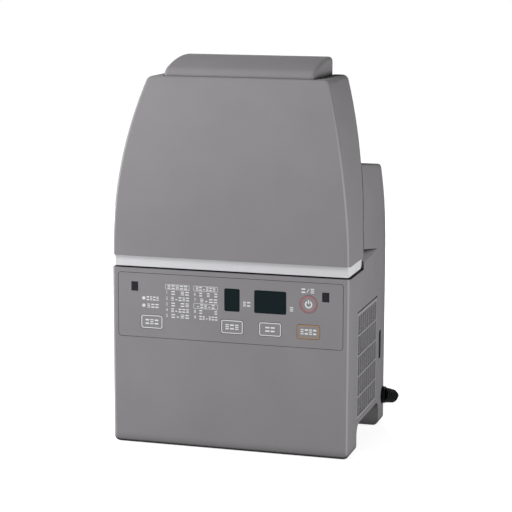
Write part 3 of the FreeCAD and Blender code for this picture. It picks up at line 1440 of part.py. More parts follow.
def main():
    """Build every node and write it."""
    os.makedirs("parts", exist_ok=True)
    front, back = FRONT_Y, PANEL_BACK_Y
    nodes = {
        "casing": casing(),
        "rear_cover": rear_cover(),
        "casing_screws": casing_screws(),
        "feet": feet(),
        "control_panel": control_panel(),
        "course_window": window_block(COURSE_KEY_X, COURSE_WINDOW_WIDTH, 0.0, front, back),
        "time_window": window_block(TIME_KEY_X, TIME_WINDOW_WIDTH, 0.0, front, back),
        "sensor_windows": Part.makeCompound([sensor_block(side, 0.0, front, back) for side in (-1, 1)]),
        "size_lenses": Part.makeCompound(lens_rods(0.0, front, back)),
        "power_key": power_key(),
        "control_board": control_board(),
        "board_screws": board_screws(),
        "key_switches": key_switches(),
        "digit_modules": digit_modules(),
        "lid_shell": lid_shell(),
        "lid_liner": lid_liner(),
        "lid_trim": lid_trim(),
        "carry_handle": carry_handle(),
        "hinge_pins": hinge_pins(),
        "friction_washers": friction_washers(),
        "outlet_tower": outlet_tower(),
        "lower_outlet_grille": outlet_grille(OUTLET_WIDTH, OUTLET_LOW_Z, OUTLET_LOW_HEIGHT),
        "upper_outlet_grille": upper_outlet_grille(),
        "intake_cover": intake_cover(),
        "filter_pad": filter_pad(),
        "blower_housing": blower_housing(),
        "impeller": impeller(),
        "motor_shaft": motor_shaft(),
        "fan_motor": fan_motor(),
        "heater_frame": heater_frame(),
        "heater_core": heater_core(),
        "thermostat": thermostat(),
        "power_board": power_board(),
        "power_components": power_components(),
        "cord_boot": cord_boot(),
        "cord_lead": cord_lead(),
        "cord_coil": cord_coil(),
        "cord_tail": cord_tail(),
        "cord_tie": cord_tie(),
        "plug_body": plug_body(),
        "plug_blades": plug_blades(),
    }
    nodes.update({name: oblong_key(x) for name, x in KEYS.items()})
    for name, shape in nodes.items():
        export(name, shape)


main()
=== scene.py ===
"""Looks of a bedding dryer: grained grey casing, swing-up lid, printed key panel and mains cord.

Everything is in metres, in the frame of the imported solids: X to the object's right, Y from its front
to its back, Z up, with the origin on the floor under the middle of the casing.
"""
from __future__ import annotations

import logging
import math
from dataclasses import dataclass, field
from enum import Enum

import bpy
from mathutils import Matrix, Quaternion, Vector

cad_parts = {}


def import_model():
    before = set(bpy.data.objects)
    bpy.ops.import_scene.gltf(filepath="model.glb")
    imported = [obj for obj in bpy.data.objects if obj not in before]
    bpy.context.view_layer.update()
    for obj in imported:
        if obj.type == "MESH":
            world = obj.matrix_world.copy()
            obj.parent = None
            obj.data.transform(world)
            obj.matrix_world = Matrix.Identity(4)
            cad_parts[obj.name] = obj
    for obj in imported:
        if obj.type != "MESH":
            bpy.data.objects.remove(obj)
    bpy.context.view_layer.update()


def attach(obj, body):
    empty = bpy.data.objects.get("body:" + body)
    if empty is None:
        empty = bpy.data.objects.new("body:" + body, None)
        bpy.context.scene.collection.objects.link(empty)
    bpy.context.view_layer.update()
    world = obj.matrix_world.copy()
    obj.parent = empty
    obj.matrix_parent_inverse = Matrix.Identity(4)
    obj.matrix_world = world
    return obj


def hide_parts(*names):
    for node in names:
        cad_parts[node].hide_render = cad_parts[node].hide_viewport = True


LOG = logging.getLogger("bedding_dryer")
MM = 0.001
Point = tuple[float, float, float]
Flat = tuple[float, float]
# A Mix node's colour sockets go by number, because its sockets for other types have the same names.
MIX_FROM = 6
MIX_TO = 7
MIX_RESULT = 2
# Corners of a solid's triangles that lie closer than this are one corner.
MERGE_MM = 0.002


class Body(Enum):
    """The rigid bodies that the scene's own pieces ride on."""

    CASING = "body"
    LID = "lid"
    INTAKE = "intake"
    SIZE_KEY = "size_key"
    COURSE_KEY = "course_key"
    TIME_KEY = "time_key"
    START_KEY = "start_key"
    POWER_KEY = "power_key"


class Ink(Enum):
    """The printing inks on the panel, as sRGB hex."""

    WHITE = "E9E9EA"
    ORANGE = "B08650"
    RED = "A06A6E"


# Materials


def linear(colour: str) -> tuple[float, float, float, float]:
    """Turn an sRGB hex colour into linear light.

    Args:
        colour: Six hex digits.

    Returns:
        Red, green, blue and an alpha of 1.
    """
    parts = [int(colour[i:i + 2], 16) / 255 for i in (0, 2, 4)]
    light = [c / 12.92 if c <= 0.04045 else ((c + 0.055) / 1.055) ** 2.4 for c in parts]
    return light[0], light[1], light[2], 1.0


def add_node(tree: bpy.types.NodeTree, kind: str, settings: dict, links: dict) -> bpy.types.Node:
    """Add a shader node with its settings and links.

    Args:
        tree: The tree that takes the node.
        kind: Blender's type name of the node.
        settings: Values by attribute name, or by input name or number.
        links: Output sockets by input name or number.

    Returns:
        The new node.
    """
    node = tree.nodes.new(kind)
    for key, value in settings.items():
        if isinstance(key, str) and hasattr(node, key):
            setattr(node, key, value)
        else:
            node.inputs[key].default_value = value
    for key, socket in links.items():
        tree.links.new(socket, node.inputs[key])
    return node


def blank_material(name: str) -> tuple[bpy.types.Material, bpy.types.NodeTree, bpy.types.Node]:
    """Start a node material.

    Args:
        name: Name of the material.

    Returns:
        The material, its tree and its Principled shader.
    """
    material = bpy.data.materials.new(name)
    material.use_nodes = True
    tree = material.node_tree
    return material, tree, tree.nodes["Principled BSDF"]


@dataclass(frozen=True)
class GrainedPlastic:
    """A moulding with a fine eroded grain: soft broad sheen and a slightly cloudy colour.

    A colour for the edges or the corners, where one is given, is mixed in there. It stands in for the light
    that upright edges catch and for the shade in recesses, which the lamps alone do not give.
    """

    name: str
    light: str
    dark: str
    grain_mm: float
    relief_mm: float
    cloud_mm: float
    smooth: float
    rough: float
    ior: float = 1.53
    # Colour of the painted highlight on upright edges; empty for none.
    edge: str = ""
    # Colour of the painted shade in corners and recesses; empty for none.
    corner: str = ""
    corner_reach_mm: float = 18.0
    edge_turn: Flat = (0.16, 0.31)
    corner_view: Flat = (0.35, 0.8)
    grain_share: float = 0.45
    tint_range: Flat = (0.45, 1.0)
    gloss_range: Flat = (0.3, 0.7)

    def paint_edge_highlight(self, tree: bpy.types.NodeTree, colour: bpy.types.NodeSocket) -> bpy.types.NodeSocket:
        """Paint a highlight on the upright rounded edges, most where they still face mainly forward or back.

        Args:
            tree: The material's tree.
            colour: The colour of the flat faces.

        Returns:
            The colour with pale edges.
        """
        facing = add_node(tree, "ShaderNodeTexCoord", {}, {}).outputs["Normal"]
        parts = add_node(tree, "ShaderNodeSeparateXYZ", {}, {"Vector": facing}).outputs
        turned = add_node(tree, "ShaderNodeMath", {"operation": "MULTIPLY"}, {0: parts["X"], 1: parts["Y"]})
        depth = add_node(tree, "ShaderNodeMath", {"operation": "MULTIPLY"}, {0: parts["Y"], 1: parts["Y"]})
        skewed = add_node(tree, "ShaderNodeMath", {"operation": "MULTIPLY"},
                          {0: turned.outputs["Value"], 1: depth.outputs["Value"]})
        amount = add_node(tree, "ShaderNodeMath", {"operation": "ABSOLUTE"}, {0: skewed.outputs["Value"]})
        on_edge = add_node(tree, "ShaderNodeMapRange",
                           {"From Min": self.edge_turn[0], "From Max": self.edge_turn[1]},
                           {"Value": amount.outputs["Value"]})
        mixed = add_node(tree, "ShaderNodeMix", {"data_type": "RGBA", MIX_TO: linear(self.edge)},
                         {0: on_edge.outputs["Result"], MIX_FROM: colour})
        return mixed.outputs[MIX_RESULT]

    def paint_corner_shade(self, tree: bpy.types.NodeTree, colour: bpy.types.NodeSocket) -> bpy.types.NodeSocket:
        """Paint shade into the corners and recesses, by how much of their view other faces close.

        Args:
            tree: The material's tree.
            colour: The colour of the open faces.

        Returns:
            The colour with painted corner shade.
        """
        view = add_node(tree, "ShaderNodeAmbientOcclusion",
                        {"samples": 12, "Distance": self.corner_reach_mm * MM}, {})
        is_open = add_node(tree, "ShaderNodeMapRange",
                           {"From Min": self.corner_view[0], "From Max": self.corner_view[1]},
                           {"Value": view.outputs["AO"]})
        mixed = add_node(tree, "ShaderNodeMix", {"data_type": "RGBA", MIX_FROM: linear(self.corner)},
                         {0: is_open.outputs["Result"], MIX_TO: colour})
        return mixed.outputs[MIX_RESULT]

    def make(self) -> bpy.types.Material:
        """Build the node material.

        Returns:
            The material.
        """
        material, tree, shader = blank_material(self.name)
        place = add_node(tree, "ShaderNodeTexCoord", {}, {}).outputs["Object"]
        cloud = add_node(tree, "ShaderNodeTexNoise", {"Scale": 1 / (self.cloud_mm * MM), "Detail": 3.0},
                         {"Vector": place})
        grain = add_node(tree, "ShaderNodeTexNoise",
                         {"Scale": 1 / (self.grain_mm * MM), "Detail": 2.0, "Roughness": 0.6},
                         {"Vector": place})
        both = add_node(tree, "ShaderNodeMath", {"operation": "MULTIPLY_ADD", 1: self.grain_share},
                        {0: grain.outputs["Fac"], 2: cloud.outputs["Fac"]})
        tint = add_node(tree, "ShaderNodeMapRange",
                        {"From Min": self.tint_range[0], "From Max": self.tint_range[1]},
                        {"Value": both.outputs["Value"]})
        colour = add_node(tree, "ShaderNodeMix",
                          {"data_type": "RGBA", MIX_FROM: linear(self.dark), MIX_TO: linear(self.light)},
                          {0: tint.outputs["Result"]})
        gloss = add_node(tree, "ShaderNodeMapRange",
                         {"From Min": self.gloss_range[0], "From Max": self.gloss_range[1],
                          "To Min": self.smooth, "To Max": self.rough},
                         {"Value": grain.outputs["Fac"]})
        bump = add_node(tree, "ShaderNodeBump", {"Strength": 0.6, "Distance": self.relief_mm * MM},
                        {"Height": grain.outputs["Fac"]})
        shader.inputs["IOR"].default_value = self.ior
        face = colour.outputs[MIX_RESULT]
        # Painted edge highlight, where its colour is given.
        if self.edge:
            face = self.paint_edge_highlight(tree, face)
        # Painted corner shade, where its colour is given.
        if self.corner:
            face = self.paint_corner_shade(tree, face)
        tree.links.new(face, shader.inputs["Base Color"])
        tree.links.new(gloss.outputs["Result"], shader.inputs["Roughness"])
        tree.links.new(bump.outputs["Normal"], shader.inputs["Normal"])
        return material


@dataclass(frozen=True)
class PolishedPane:
    """Polished acrylic: a smooth face with a gloss and faint streaks, as a wiping cloth leaves them."""

    name: str
    light: str
    dark: str
    streak_mm: float
    roughness: float
    ior: float = 1.49
    gloss_range: Flat = (0.3, 0.7)
    gloss_swing: float = 0.3

    def make(self) -> bpy.types.Material:
        """Build the node material.

        Returns:
            The material.
        """
        material, tree, shader = blank_material(self.name)
        place = add_node(tree, "ShaderNodeTexCoord", {}, {}).outputs["Object"]
        turn = add_node(tree, "ShaderNodeMapping", {"Scale": (1.0, 1.0, 6.0), "Rotation": (0.0, 0.5, 0.0)},
                        {"Vector": place})
        streak = add_node(tree, "ShaderNodeTexNoise", {"Scale": 1 / (self.streak_mm * MM), "Detail": 4.0},
                          {"Vector": turn.outputs["Vector"]})
        colour = add_node(tree, "ShaderNodeMix",
                          {"data_type": "RGBA", MIX_FROM: linear(self.dark), MIX_TO: linear(self.light)},
                          {0: streak.outputs["Fac"]})
        gloss = add_node(tree, "ShaderNodeMapRange",
                         {"From Min": self.gloss_range[0], "From Max": self.gloss_range[1],
                          "To Min": self.roughness * (1 - self.gloss_swing),
                          "To Max": self.roughness * (1 + self.gloss_swing)},
                         {"Value": streak.outputs["Fac"]})
        shader.inputs["IOR"].default_value = self.ior
        tree.links.new(colour.outputs[MIX_RESULT], shader.inputs["Base Color"])
        tree.links.new(gloss.outputs["Result"], shader.inputs["Roughness"])
        return material


@dataclass(frozen=True)
class PlatedMetal:
    """Drawn or plated metal: fine lines along one axis and a little tarnish."""

    name: str
    light: str
    dark: str
    line_mm: float
    roughness: float
    draw: float = 0.08
    relief_mm: float = 0.02
    gloss_range: Flat = (0.3, 0.7)
    gloss_swing: float = 0.2

    def make(self) -> bpy.types.Material:
        """Build the node material.

        Returns:
            The material.
        """
        material, tree, shader = blank_material(self.name)
        place = add_node(tree, "ShaderNodeTexCoord", {}, {}).outputs["Object"]
        drawn = add_node(tree, "ShaderNodeMapping", {"Scale": (self.draw, 1.0, 1.0)}, {"Vector": place})
        lines = add_node(tree, "ShaderNodeTexNoise", {"Scale": 1 / (self.line_mm * MM), "Detail": 3.0},
                         {"Vector": drawn.outputs["Vector"]})
        colour = add_node(tree, "ShaderNodeMix",
                          {"data_type": "RGBA", MIX_FROM: linear(self.dark), MIX_TO: linear(self.light)},
                          {0: lines.outputs["Fac"]})
        gloss = add_node(tree, "ShaderNodeMapRange",
                         {"From Min": self.gloss_range[0], "From Max": self.gloss_range[1],
                          "To Min": self.roughness * (1 - self.gloss_swing),
                          "To Max": self.roughness * (1 + self.gloss_swing)},
                         {"Value": lines.outputs["Fac"]})
        bump = add_node(tree, "ShaderNodeBump", {"Strength": 0.3, "Distance": self.relief_mm * MM},
                        {"Height": lines.outputs["Fac"]})
        shader.inputs["Metallic"].default_value = 1.0
        tree.links.new(colour.outputs[MIX_RESULT], shader.inputs["Base Color"])
        tree.links.new(gloss.outputs["Result"], shader.inputs["Roughness"])
        tree.links.new(bump.outputs["Normal"], shader.inputs["Normal"])
        return material


@dataclass(frozen=True)
class WovenFilter:
    """Knitted polyester filter: an open grid of threads over dark gaps."""

    name: str
    thread: str
    gap: str
    pitch_mm: float
    relief_mm: float = 0.2

    def make(self) -> bpy.types.Material:
        """Build the node material.

        Returns:
            The material.
        """
        material, tree, shader = blank_material(self.name)
        place = add_node(tree, "ShaderNodeTexCoord", {}, {}).outputs["Object"]
        # A wave texture of scale 1 repeats every pi / 10 m.
        waves = []
        for axis in ("Y", "Z"):
            wave = add_node(tree, "ShaderNodeTexWave",
                            {"bands_direction": axis, "Scale": math.pi / (10 * self.pitch_mm * MM)},
                            {"Vector": place})
            waves.append(wave.outputs["Fac"])
        weave = add_node(tree, "ShaderNodeMath", {"operation": "MAXIMUM"}, {0: waves[0], 1: waves[1]})
        colour = add_node(tree, "ShaderNodeMix",
                          {"data_type": "RGBA", MIX_FROM: linear(self.gap), MIX_TO: linear(self.thread)},
                          {0: weave.outputs["Value"]})
        bump = add_node(tree, "ShaderNodeBump", {"Strength": 0.7, "Distance": self.relief_mm * MM},
                        {"Height": weave.outputs["Value"]})
        shader.inputs["Roughness"].default_value = 0.9
        tree.links.new(colour.outputs[MIX_RESULT], shader.inputs["Base Color"])
        tree.links.new(bump.outputs["Normal"], shader.inputs["Normal"])
        return material


@dataclass(frozen=True)
class ScreenInk:
    """Screen-printed ink: flat, slightly uneven in cover, with a dry matt face."""

    name: str
    ink: Ink
    blotch_mm: float = 0.8
    thin_cover: float = 0.86

    def make(self) -> bpy.types.Material:
        """Build the node material.

        Returns:
            The material.
        """
        material, tree, shader = blank_material(self.name)
        place = add_node(tree, "ShaderNodeTexCoord", {}, {}).outputs["Object"]
        cover = add_node(tree, "ShaderNodeTexNoise", {"Scale": 1 / (self.blotch_mm * MM), "Detail": 3.0},
                         {"Vector": place})
        full = linear(self.ink.value)
        thin = tuple(self.thin_cover * c for c in full[:3]) + (1.0,)
        colour = add_node(tree, "ShaderNodeMix", {"data_type": "RGBA", MIX_FROM: thin, MIX_TO: full},
                          {0: cover.outputs["Fac"]})
        shader.inputs["Roughness"].default_value = 0.6
        tree.links.new(colour.outputs[MIX_RESULT], shader.inputs["Base Color"])
        return material


# Moulded ABS with a spark-eroded grain, which gives a soft broad sheen. Such a grain is typically about
# 0.15 mm wide; it is drawn at 0.7 mm to show.
# Its index of refraction is far below the resin's own, or the white surround would bleach slanting faces.
# Its last two colours are the painted highlight on upright edges and the painted shade in corners and
# recesses.
CASING_ABS = GrainedPlastic("casing_abs_grained", "918F91", "8C8A8C", 0.7, 0.05, 45.0, 0.62, 0.74, 1.03,
                            "AEACAE", "3A393A")
# The intake cover's resin is the same, drawn paler than the casing as a painted highlight, so that its bars
# stand out.
COVER_ABS = GrainedPlastic("cover_abs_grained", "A3A1A3", "9E9C9E", 0.7, 0.05, 45.0, 0.62, 0.74, 1.03)
# The lid's band is the same resin in a pale grey; a smoother tool face gives it a tighter sheen.
BAND_ABS = GrainedPlastic("band_abs_pale", "DADADD", "D5D5D8", 0.6, 0.02, 30.0, 0.46, 0.56, 1.2)
# Darker moulded polypropylene under the lid, where warm air passes: waxy, with a dull sheen.
DUCT_PP = GrainedPlastic("duct_polypropylene", "6F6E70", "636264", 0.8, 0.06, 25.0, 0.5, 0.64)
# Moulded glass-filled nylon of grilles, blower and electrical parts: black with a faint grey sheen.
BLACK_NYLON = GrainedPlastic("black_nylon", "232427", "191A1C", 0.9, 0.06, 20.0, 0.45, 0.6)
# Soft PVC of the cord, boot and plug: near black, with a weak soft sheen.
BLACK_PVC = GrainedPlastic("black_pvc", "07090B", "040506", 0.8, 0.05, 12.0, 0.36, 0.48, 1.18)
# Moulded rubber feet: dull and dusty.
FOOT_RUBBER = GrainedPlastic("foot_rubber", "27282A", "1B1C1E", 0.9, 0.08, 8.0, 0.7, 0.85, 1.52)
# Pressed epoxy laminate of the boards: deep green under a smooth lacquer.
BOARD_LAMINATE = GrainedPlastic("board_laminate", "2B6B40", "1D5330", 1.2, 0.03, 9.0, 0.3, 0.42, 1.55)
# Moulded steatite-filled resin round the heater: a chalky off-white with hardly any sheen.
HEATER_RESIN = GrainedPlastic("heater_resin", "D2CDC0", "C2BCAE", 0.9, 0.06, 14.0, 0.6, 0.75)
# Smoked acrylic of the numeral windows: smooth and teal-black, as in the photograph.
SMOKED_ACRYLIC = PolishedPane("smoked_acrylic", "0C1C21", "08161A", 9.0, 0.2, 1.15)
# Smoked acrylic of the receiver windows: smooth and near black, with a trace of violet.
RECEIVER_ACRYLIC = PolishedPane("receiver_acrylic", "24232A", "1D1C22", 5.0, 0.24, 1.2)
# Milky acrylic lenses of the two lamps beside the size key: white with a soft gloss.
LENS_ACRYLIC = PolishedPane("lens_acrylic", "E8E8E6", "DADAD8", 2.0, 0.25)
# Zinc plate on the screws, the motor can and the heat cut-out: cool grey with fine bright lines.
ZINC_PLATE = PlatedMetal("zinc_plate", "B4B7BC", "9DA0A6", 0.6, 0.36)
# Ground steel pins and shaft: bright, with fine lines from the grinding.
GROUND_STEEL = PlatedMetal("ground_steel", "C2C4C6", "A9ABAD", 0.4, 0.24)
# Rolled aluminium fins: pale grey, with lines from the rolls.
FIN_ALUMINIUM = PlatedMetal("fin_aluminium", "BEC0C2", "A6A8AB", 0.8, 0.34)
# Nickelled brass blades: a warm pale metal with a soft mirror.
BLADE_NICKEL = PlatedMetal("blade_nickel", "D2CBB8", "B9AF98", 0.5, 0.26)
# Knitted dust filter: threads over dark gaps. Such a knit typically has a pitch of about 0.6 mm; it is
# drawn at 1.4 mm to show.
FILTER_KNIT = WovenFilter("filter_knit", "545558", "2A2B2D", 1.4)


# Mesh helpers


def deselect() -> None:
    """Leave nothing selected, in object mode."""
    if bpy.context.object and bpy.context.object.mode != "OBJECT":
        bpy.ops.object.mode_set(mode="OBJECT")
    bpy.ops.object.select_all(action="DESELECT")


def settle(piece: bpy.types.Object, name: str, finish: bpy.types.Material) -> bpy.types.Object:
    """Name a piece, put its place into its mesh and give it one material.

    Args:
        piece: The piece.
        name: Its name.
        finish: Its material.

    Returns:
        The same piece.
    """
    piece.name = name
    piece.data.name = name
    piece.data.transform(piece.matrix_world)
    piece.matrix_world = Matrix.Identity(4)
    piece.data.materials.clear()
    piece.data.materials.append(finish)
    return piece


def join_pieces(pieces: list[bpy.types.Object], name: str) -> bpy.types.Object:
    """Join pieces into one.

    Args:
        pieces: What to join.
        name: Name of the result.

    Returns:
        The joined piece.
    """
    deselect()
    for piece in pieces:
        piece.select_set(True)
    bpy.context.view_layer.objects.active = pieces[0]
    if len(pieces) > 1:
        bpy.ops.object.join()
    pieces[0].name = name
    pieces[0].data.name = name
    return pieces[0]


def smooth_copy(node: str, name: str, finish: bpy.types.Material, body: Body,
                angle: float = 28.0) -> bpy.types.Object:
    """Stand a merged, smooth-shaded copy in for a solid.

    Args:
        node: The solid's name.
        name: Name of the copy.
        finish: Its material.
        body: What it rides on.
        angle: Edges sharper than this many degrees stay crisp.

    Returns:
        The copy.
    """
    source = bpy.data.objects[node]
    piece = bpy.data.objects.new(name, source.data.copy())
    bpy.context.scene.collection.objects.link(piece)
    deselect()
    piece.select_set(True)
    bpy.context.view_layer.objects.active = piece
    if piece.data.has_custom_normals:
        bpy.ops.mesh.customdata_custom_splitnormals_clear()
    bpy.ops.object.mode_set(mode="EDIT")
    bpy.ops.mesh.select_all(action="SELECT")
    bpy.ops.mesh.remove_doubles(threshold=MERGE_MM * MM)
    bpy.ops.object.mode_set(mode="OBJECT")
    bpy.ops.object.shade_smooth_by_angle(angle=math.radians(angle))
    settle(piece, name, finish)
    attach(piece, body.value)
    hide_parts(node)
    LOG.info("moulding %s", name)
    return piece


# Sub-assemblies


@dataclass
class Shell:
    """The mouldings: casing, rear cover, handle, lid and what shows under the lid."""

    finishes: dict[str, bpy.types.Material]
    grey: dict[str, Body] = field(default_factory=lambda: {
        "casing": Body.CASING,
        "rear_cover": Body.CASING,
        "carry_handle": Body.CASING,
        "control_panel": Body.CASING,
        "lid_shell": Body.LID,
    })
    # Box, in mm, of the finger slot whose faces get painted shade.
    slot_low: Point = (112.0, 50.0, 70.0)
    slot_high: Point = (118.4, 59.0, 100.0)

    def paint_slot_shade(self, casing: bpy.types.Object) -> None:
        """Give the faces inside the intake's finger slot the black finish, as painted shade in the slot.

        Args:
            casing: The casing's copy.
        """
        casing.data.materials.append(self.finishes["black"])
        for face in casing.data.polygons:
            place = face.center / MM
            if all(low < value < high for low, value, high in zip(self.slot_low, place, self.slot_high)):
                face.material_index = 1

    def dress(self) -> None:
        """Give the grey mouldings smooth copies and the rest their finishes."""
        for node, body in self.grey.items():
            moulding = smooth_copy(node, f"{node}_moulding", self.finishes["casing"], body)
            if node == "casing":
                self.paint_slot_shade(moulding)
        smooth_copy("intake_cover", "intake_cover_moulding", self.finishes["cover"], Body.INTAKE)
        smooth_copy("lid_trim", "lid_band", self.finishes["band"], Body.LID)
        smooth_copy("lid_liner", "lid_lining", self.finishes["duct"], Body.LID)
        smooth_copy("outlet_tower", "outlet_duct", self.finishes["duct"], Body.CASING)


@dataclass
class Insides:
    """Finishes of the solids that stay as they are."""

    finishes: dict[str, bpy.types.Material]
    slots: dict[str, tuple[str, ...]] = field(default_factory=lambda: {
        "black": ("lower_outlet_grille", "upper_outlet_grille", "key_switches", "digit_modules",
                  "power_components", "friction_washers", "blower_housing"),
        "duct": ("impeller",),
        "rubber": ("feet",),
        "pvc": ("cord_boot", "plug_body", "cord_tie"),
        "laminate": ("control_board", "power_board"),
        "resin": ("heater_frame",),
        "zinc": ("casing_screws", "board_screws", "fan_motor", "thermostat"),
        "steel": ("hinge_pins", "motor_shaft"),
        "aluminium": ("heater_core",),
        "nickel": ("plug_blades",),
        "knit": ("filter_pad",),
        "window": ("course_window", "time_window"),
        "receiver": ("sensor_windows",),
        "lens": ("size_lenses",),
        "casing": ("size_key", "course_key", "time_key", "start_key", "power_key"),
    })

    def dress(self) -> None:
        """Put each finish on its solids."""
        for finish, nodes in self.slots.items():
            for node in nodes:
                solid = bpy.data.objects[node]
                solid.data.materials.clear()
                solid.data.materials.append(self.finishes[finish])
            LOG.info("finish %s on %d solids", finish, len(nodes))


@dataclass(frozen=True)
class Caption:
    """A line of plain bars where the panel has a word: its left end and middle, cells and sizes, in mm."""

    x: float
    z: float
    cells: str
    pitch: float
    height: float


# The bars that make up one mark: lift, width and height, as shares of the mark's own height and width.
MARKS = {
    "=": ((0.34, 1.0, 0.3), (-0.34, 1.0, 0.3)),
    "-": ((0.39, 0.9, 0.2), (0.0, 0.9, 0.2), (-0.39, 0.9, 0.2)),
    ".": ((-0.2, 0.6, 0.28),),
}


@dataclass
class PanelPrint:
    """Everything printed on the control panel and its keys, in mm."""

    inks: dict[Ink, bpy.types.Material]
    face_y: float = -78.5
    proud: float = 0.05
    row_pitch: float = 5.65
    top_row_z: float = 158.6
    blocks: tuple[float, float] = (-63.9, -35.4)
    block_width: float = 24.4
    block_line: float = 0.35
    title_height: float = 5.2
    title_corner: float = 0.9
    title_mark: float = 3.5
    row_mark: float = 3.7
    digit_inset: float = 1.5
    digit_height: float = 3.1
    digit_share: float = 0.7
    key_row_z: float = 123.3
    key_size: Flat = (21.4, 12.8)
    key_line: float = 0.75
    key_corner: float = 2.0
    key_mark: float = 5.0
    start_x: float = 78.6
    start_line: float = 0.8
    start_corner: float = 1.2
    start_word: Flat = (4.1, 5.2)
    power_z: float = 150.0
    power_band: Flat = (8.2, 6.6)
    power_arc: Flat = (3.6, 2.3)
    power_gap: float = 1.3
    power_drop: float = 0.3
    power_stem: tuple[float, float, float] = (2.2, 1.1, 3.8)
    cell_fill: float = 0.8
    bar_round: float = 0.3
    ink_depth: float = 0.04
    captions: tuple[Caption, ...] = (
        Caption(-83.4, 146.3, "=-=-", 3.3, 3.9),
        Caption(-83.0, 139.1, "-==", 4.2, 3.9),
        Caption(13.6, 146.4, "-=", 4.1, 4.6),
        Caption(59.6, 144.2, "-", 4.8, 4.2),
        Caption(71.0, 162.8, "=", 4.8, 4.4),
        Caption(79.8, 162.8, "-", 4.8, 4.4),
    )
    slash_place: Flat = (77.8, 162.8)
    slash_size: Flat = (0.7, 4.6)
    slash_lean: float = 28.0

    def bar(self, x: float, z: float, width: float, height: float) -> bpy.types.Object:
        """A small bar with rounded ends.

        Args:
            x: Centre, in mm.
            z: Centre, in mm.
            width: Width, in mm.
            height: Height, in mm.

        Returns:
            The bar.
        """
        deselect()
        bpy.ops.mesh.primitive_plane_add(size=1.0, location=(0.0, 0.0, 0.0))
        piece = bpy.context.object
        piece.data.transform(Matrix.Diagonal((width * MM, height * MM, 1.0, 1.0)))
        bpy.ops.object.mode_set(mode="EDIT")
        bpy.ops.mesh.select_all(action="SELECT")
        bpy.ops.mesh.bevel(offset=self.bar_round * min(width, height) * MM, segments=3, affect="VERTICES")
        bpy.ops.object.mode_set(mode="OBJECT")
        return self.upright(piece, x, z)

    def frame(self, x: float, z: float, width: float, height: float, line: float,
              radius: float) -> bpy.types.Object:
        """A rounded outline.

        Args:
            x: Centre, in mm.
            z: Centre, in mm.
            width: Outer width, in mm.
            height: Outer height, in mm.
            line: Width of the line, in mm.
            radius: Outer corner radius, in mm.

        Returns:
            The outline.
        """
        deselect()
        bpy.ops.mesh.primitive_plane_add(size=1.0, location=(0.0, 0.0, 0.0))
        piece = bpy.context.object
        piece.data.transform(Matrix.Diagonal((width * MM, height * MM, 1.0, 1.0)))
        bpy.ops.object.mode_set(mode="EDIT")
        bpy.ops.mesh.select_all(action="SELECT")
        bpy.ops.mesh.bevel(offset=radius * MM, segments=6, affect="VERTICES")
        bpy.ops.mesh.select_all(action="SELECT")
        bpy.ops.mesh.inset(thickness=line * MM, depth=0.0)
        bpy.ops.mesh.delete(type="FACE")
        bpy.ops.object.mode_set(mode="OBJECT")
        return self.upright(piece, x, z)

    def ring(self, x: float, z: float, outer: float, inner: float, gap: float) -> bpy.types.Object:
        """A flat ring, open at the top when gap is more than 0.

        Args:
            x: Centre, in mm.
            z: Centre, in mm.
            outer: Outer radius, in mm.
            inner: Inner radius, in mm.
            gap: Half width of the opening, in mm.

        Returns:
            The ring.
        """
        deselect()
        bpy.ops.mesh.primitive_circle_add(vertices=64, radius=outer * MM, fill_type="NGON",
                                          location=(0.0, 0.0, 0.0))
        piece = bpy.context.object
        bpy.ops.object.mode_set(mode="EDIT")
        bpy.ops.mesh.select_all(action="SELECT")
        bpy.ops.mesh.inset(thickness=(outer - inner) * MM, depth=0.0)
        bpy.ops.mesh.delete(type="FACE")
        bpy.ops.object.mode_set(mode="OBJECT")
        if gap > 0:
            bpy.ops.object.mode_set(mode="EDIT")
            bpy.ops.mesh.select_all(action="DESELECT")
            bpy.ops.object.mode_set(mode="OBJECT")
            for face in piece.data.polygons:
                face.select = abs(face.center.x) < gap * MM and face.center.y > 0
            bpy.ops.object.mode_set(mode="EDIT")
            bpy.ops.mesh.delete(type="FACE")
            bpy.ops.object.mode_set(mode="OBJECT")
        return self.upright(piece, x, z)

    def numeral(self, text: str, x: float, z: float, height: float) -> bpy.types.Object:
        """A printed numeral.

        Args:
            text: The digit.
            x: Centre, in mm.
            z: Centre, in mm.
            height: Height of the digit, in mm.

        Returns:
            The digit as a mesh.
        """
        deselect()
        bpy.ops.object.text_add(location=(0.0, 0.0, 0.0))
        label = bpy.context.object
        label.data.body = text
        label.data.align_x = "CENTER"
        label.data.align_y = "CENTER"
        label.data.size = height * MM / self.digit_share
        label.data.resolution_u = 4
        bpy.ops.object.convert(target="MESH")
        return self.upright(bpy.context.object, x, z)

    def upright(self, piece: bpy.types.Object, x: float, z: float) -> bpy.types.Object:
        """Stand a flat print on the panel's face.

        Args:
            piece: A print drawn in the XY plane.
            x: Where its centre goes, in mm.
            z: Where its centre goes, in mm.

        Returns:
            The print.
        """
        turn = Matrix.Rotation(math.radians(90), 4, "X")
        shift = Matrix.Translation((x * MM, (self.face_y - self.proud) * MM, z * MM))
        piece.data.transform(shift @ turn)
        return piece

    def words(self, x: float, z: float, cells: str, pitch: float, height: float) -> list[bpy.types.Object]:
        """A line of plain bars where the panel has a caption.

        Args:
            x: Left end, in mm.
            z: Middle of the line, in mm.
            cells: One mark a cell: a space, "=" for two bars, "-" for three or "." for a short low one.
            pitch: Width of a cell, in mm.
            height: Height of the marks, in mm.

        Returns:
            The bars.
        """
        width = self.cell_fill * pitch
        found = []
        for i, cell in enumerate(cells):
            for lift, wide, tall in MARKS.get(cell, ()):
                found.append(self.bar(x + (i + 0.5) * pitch, z + lift * height, wide * width, tall * height))
        return found

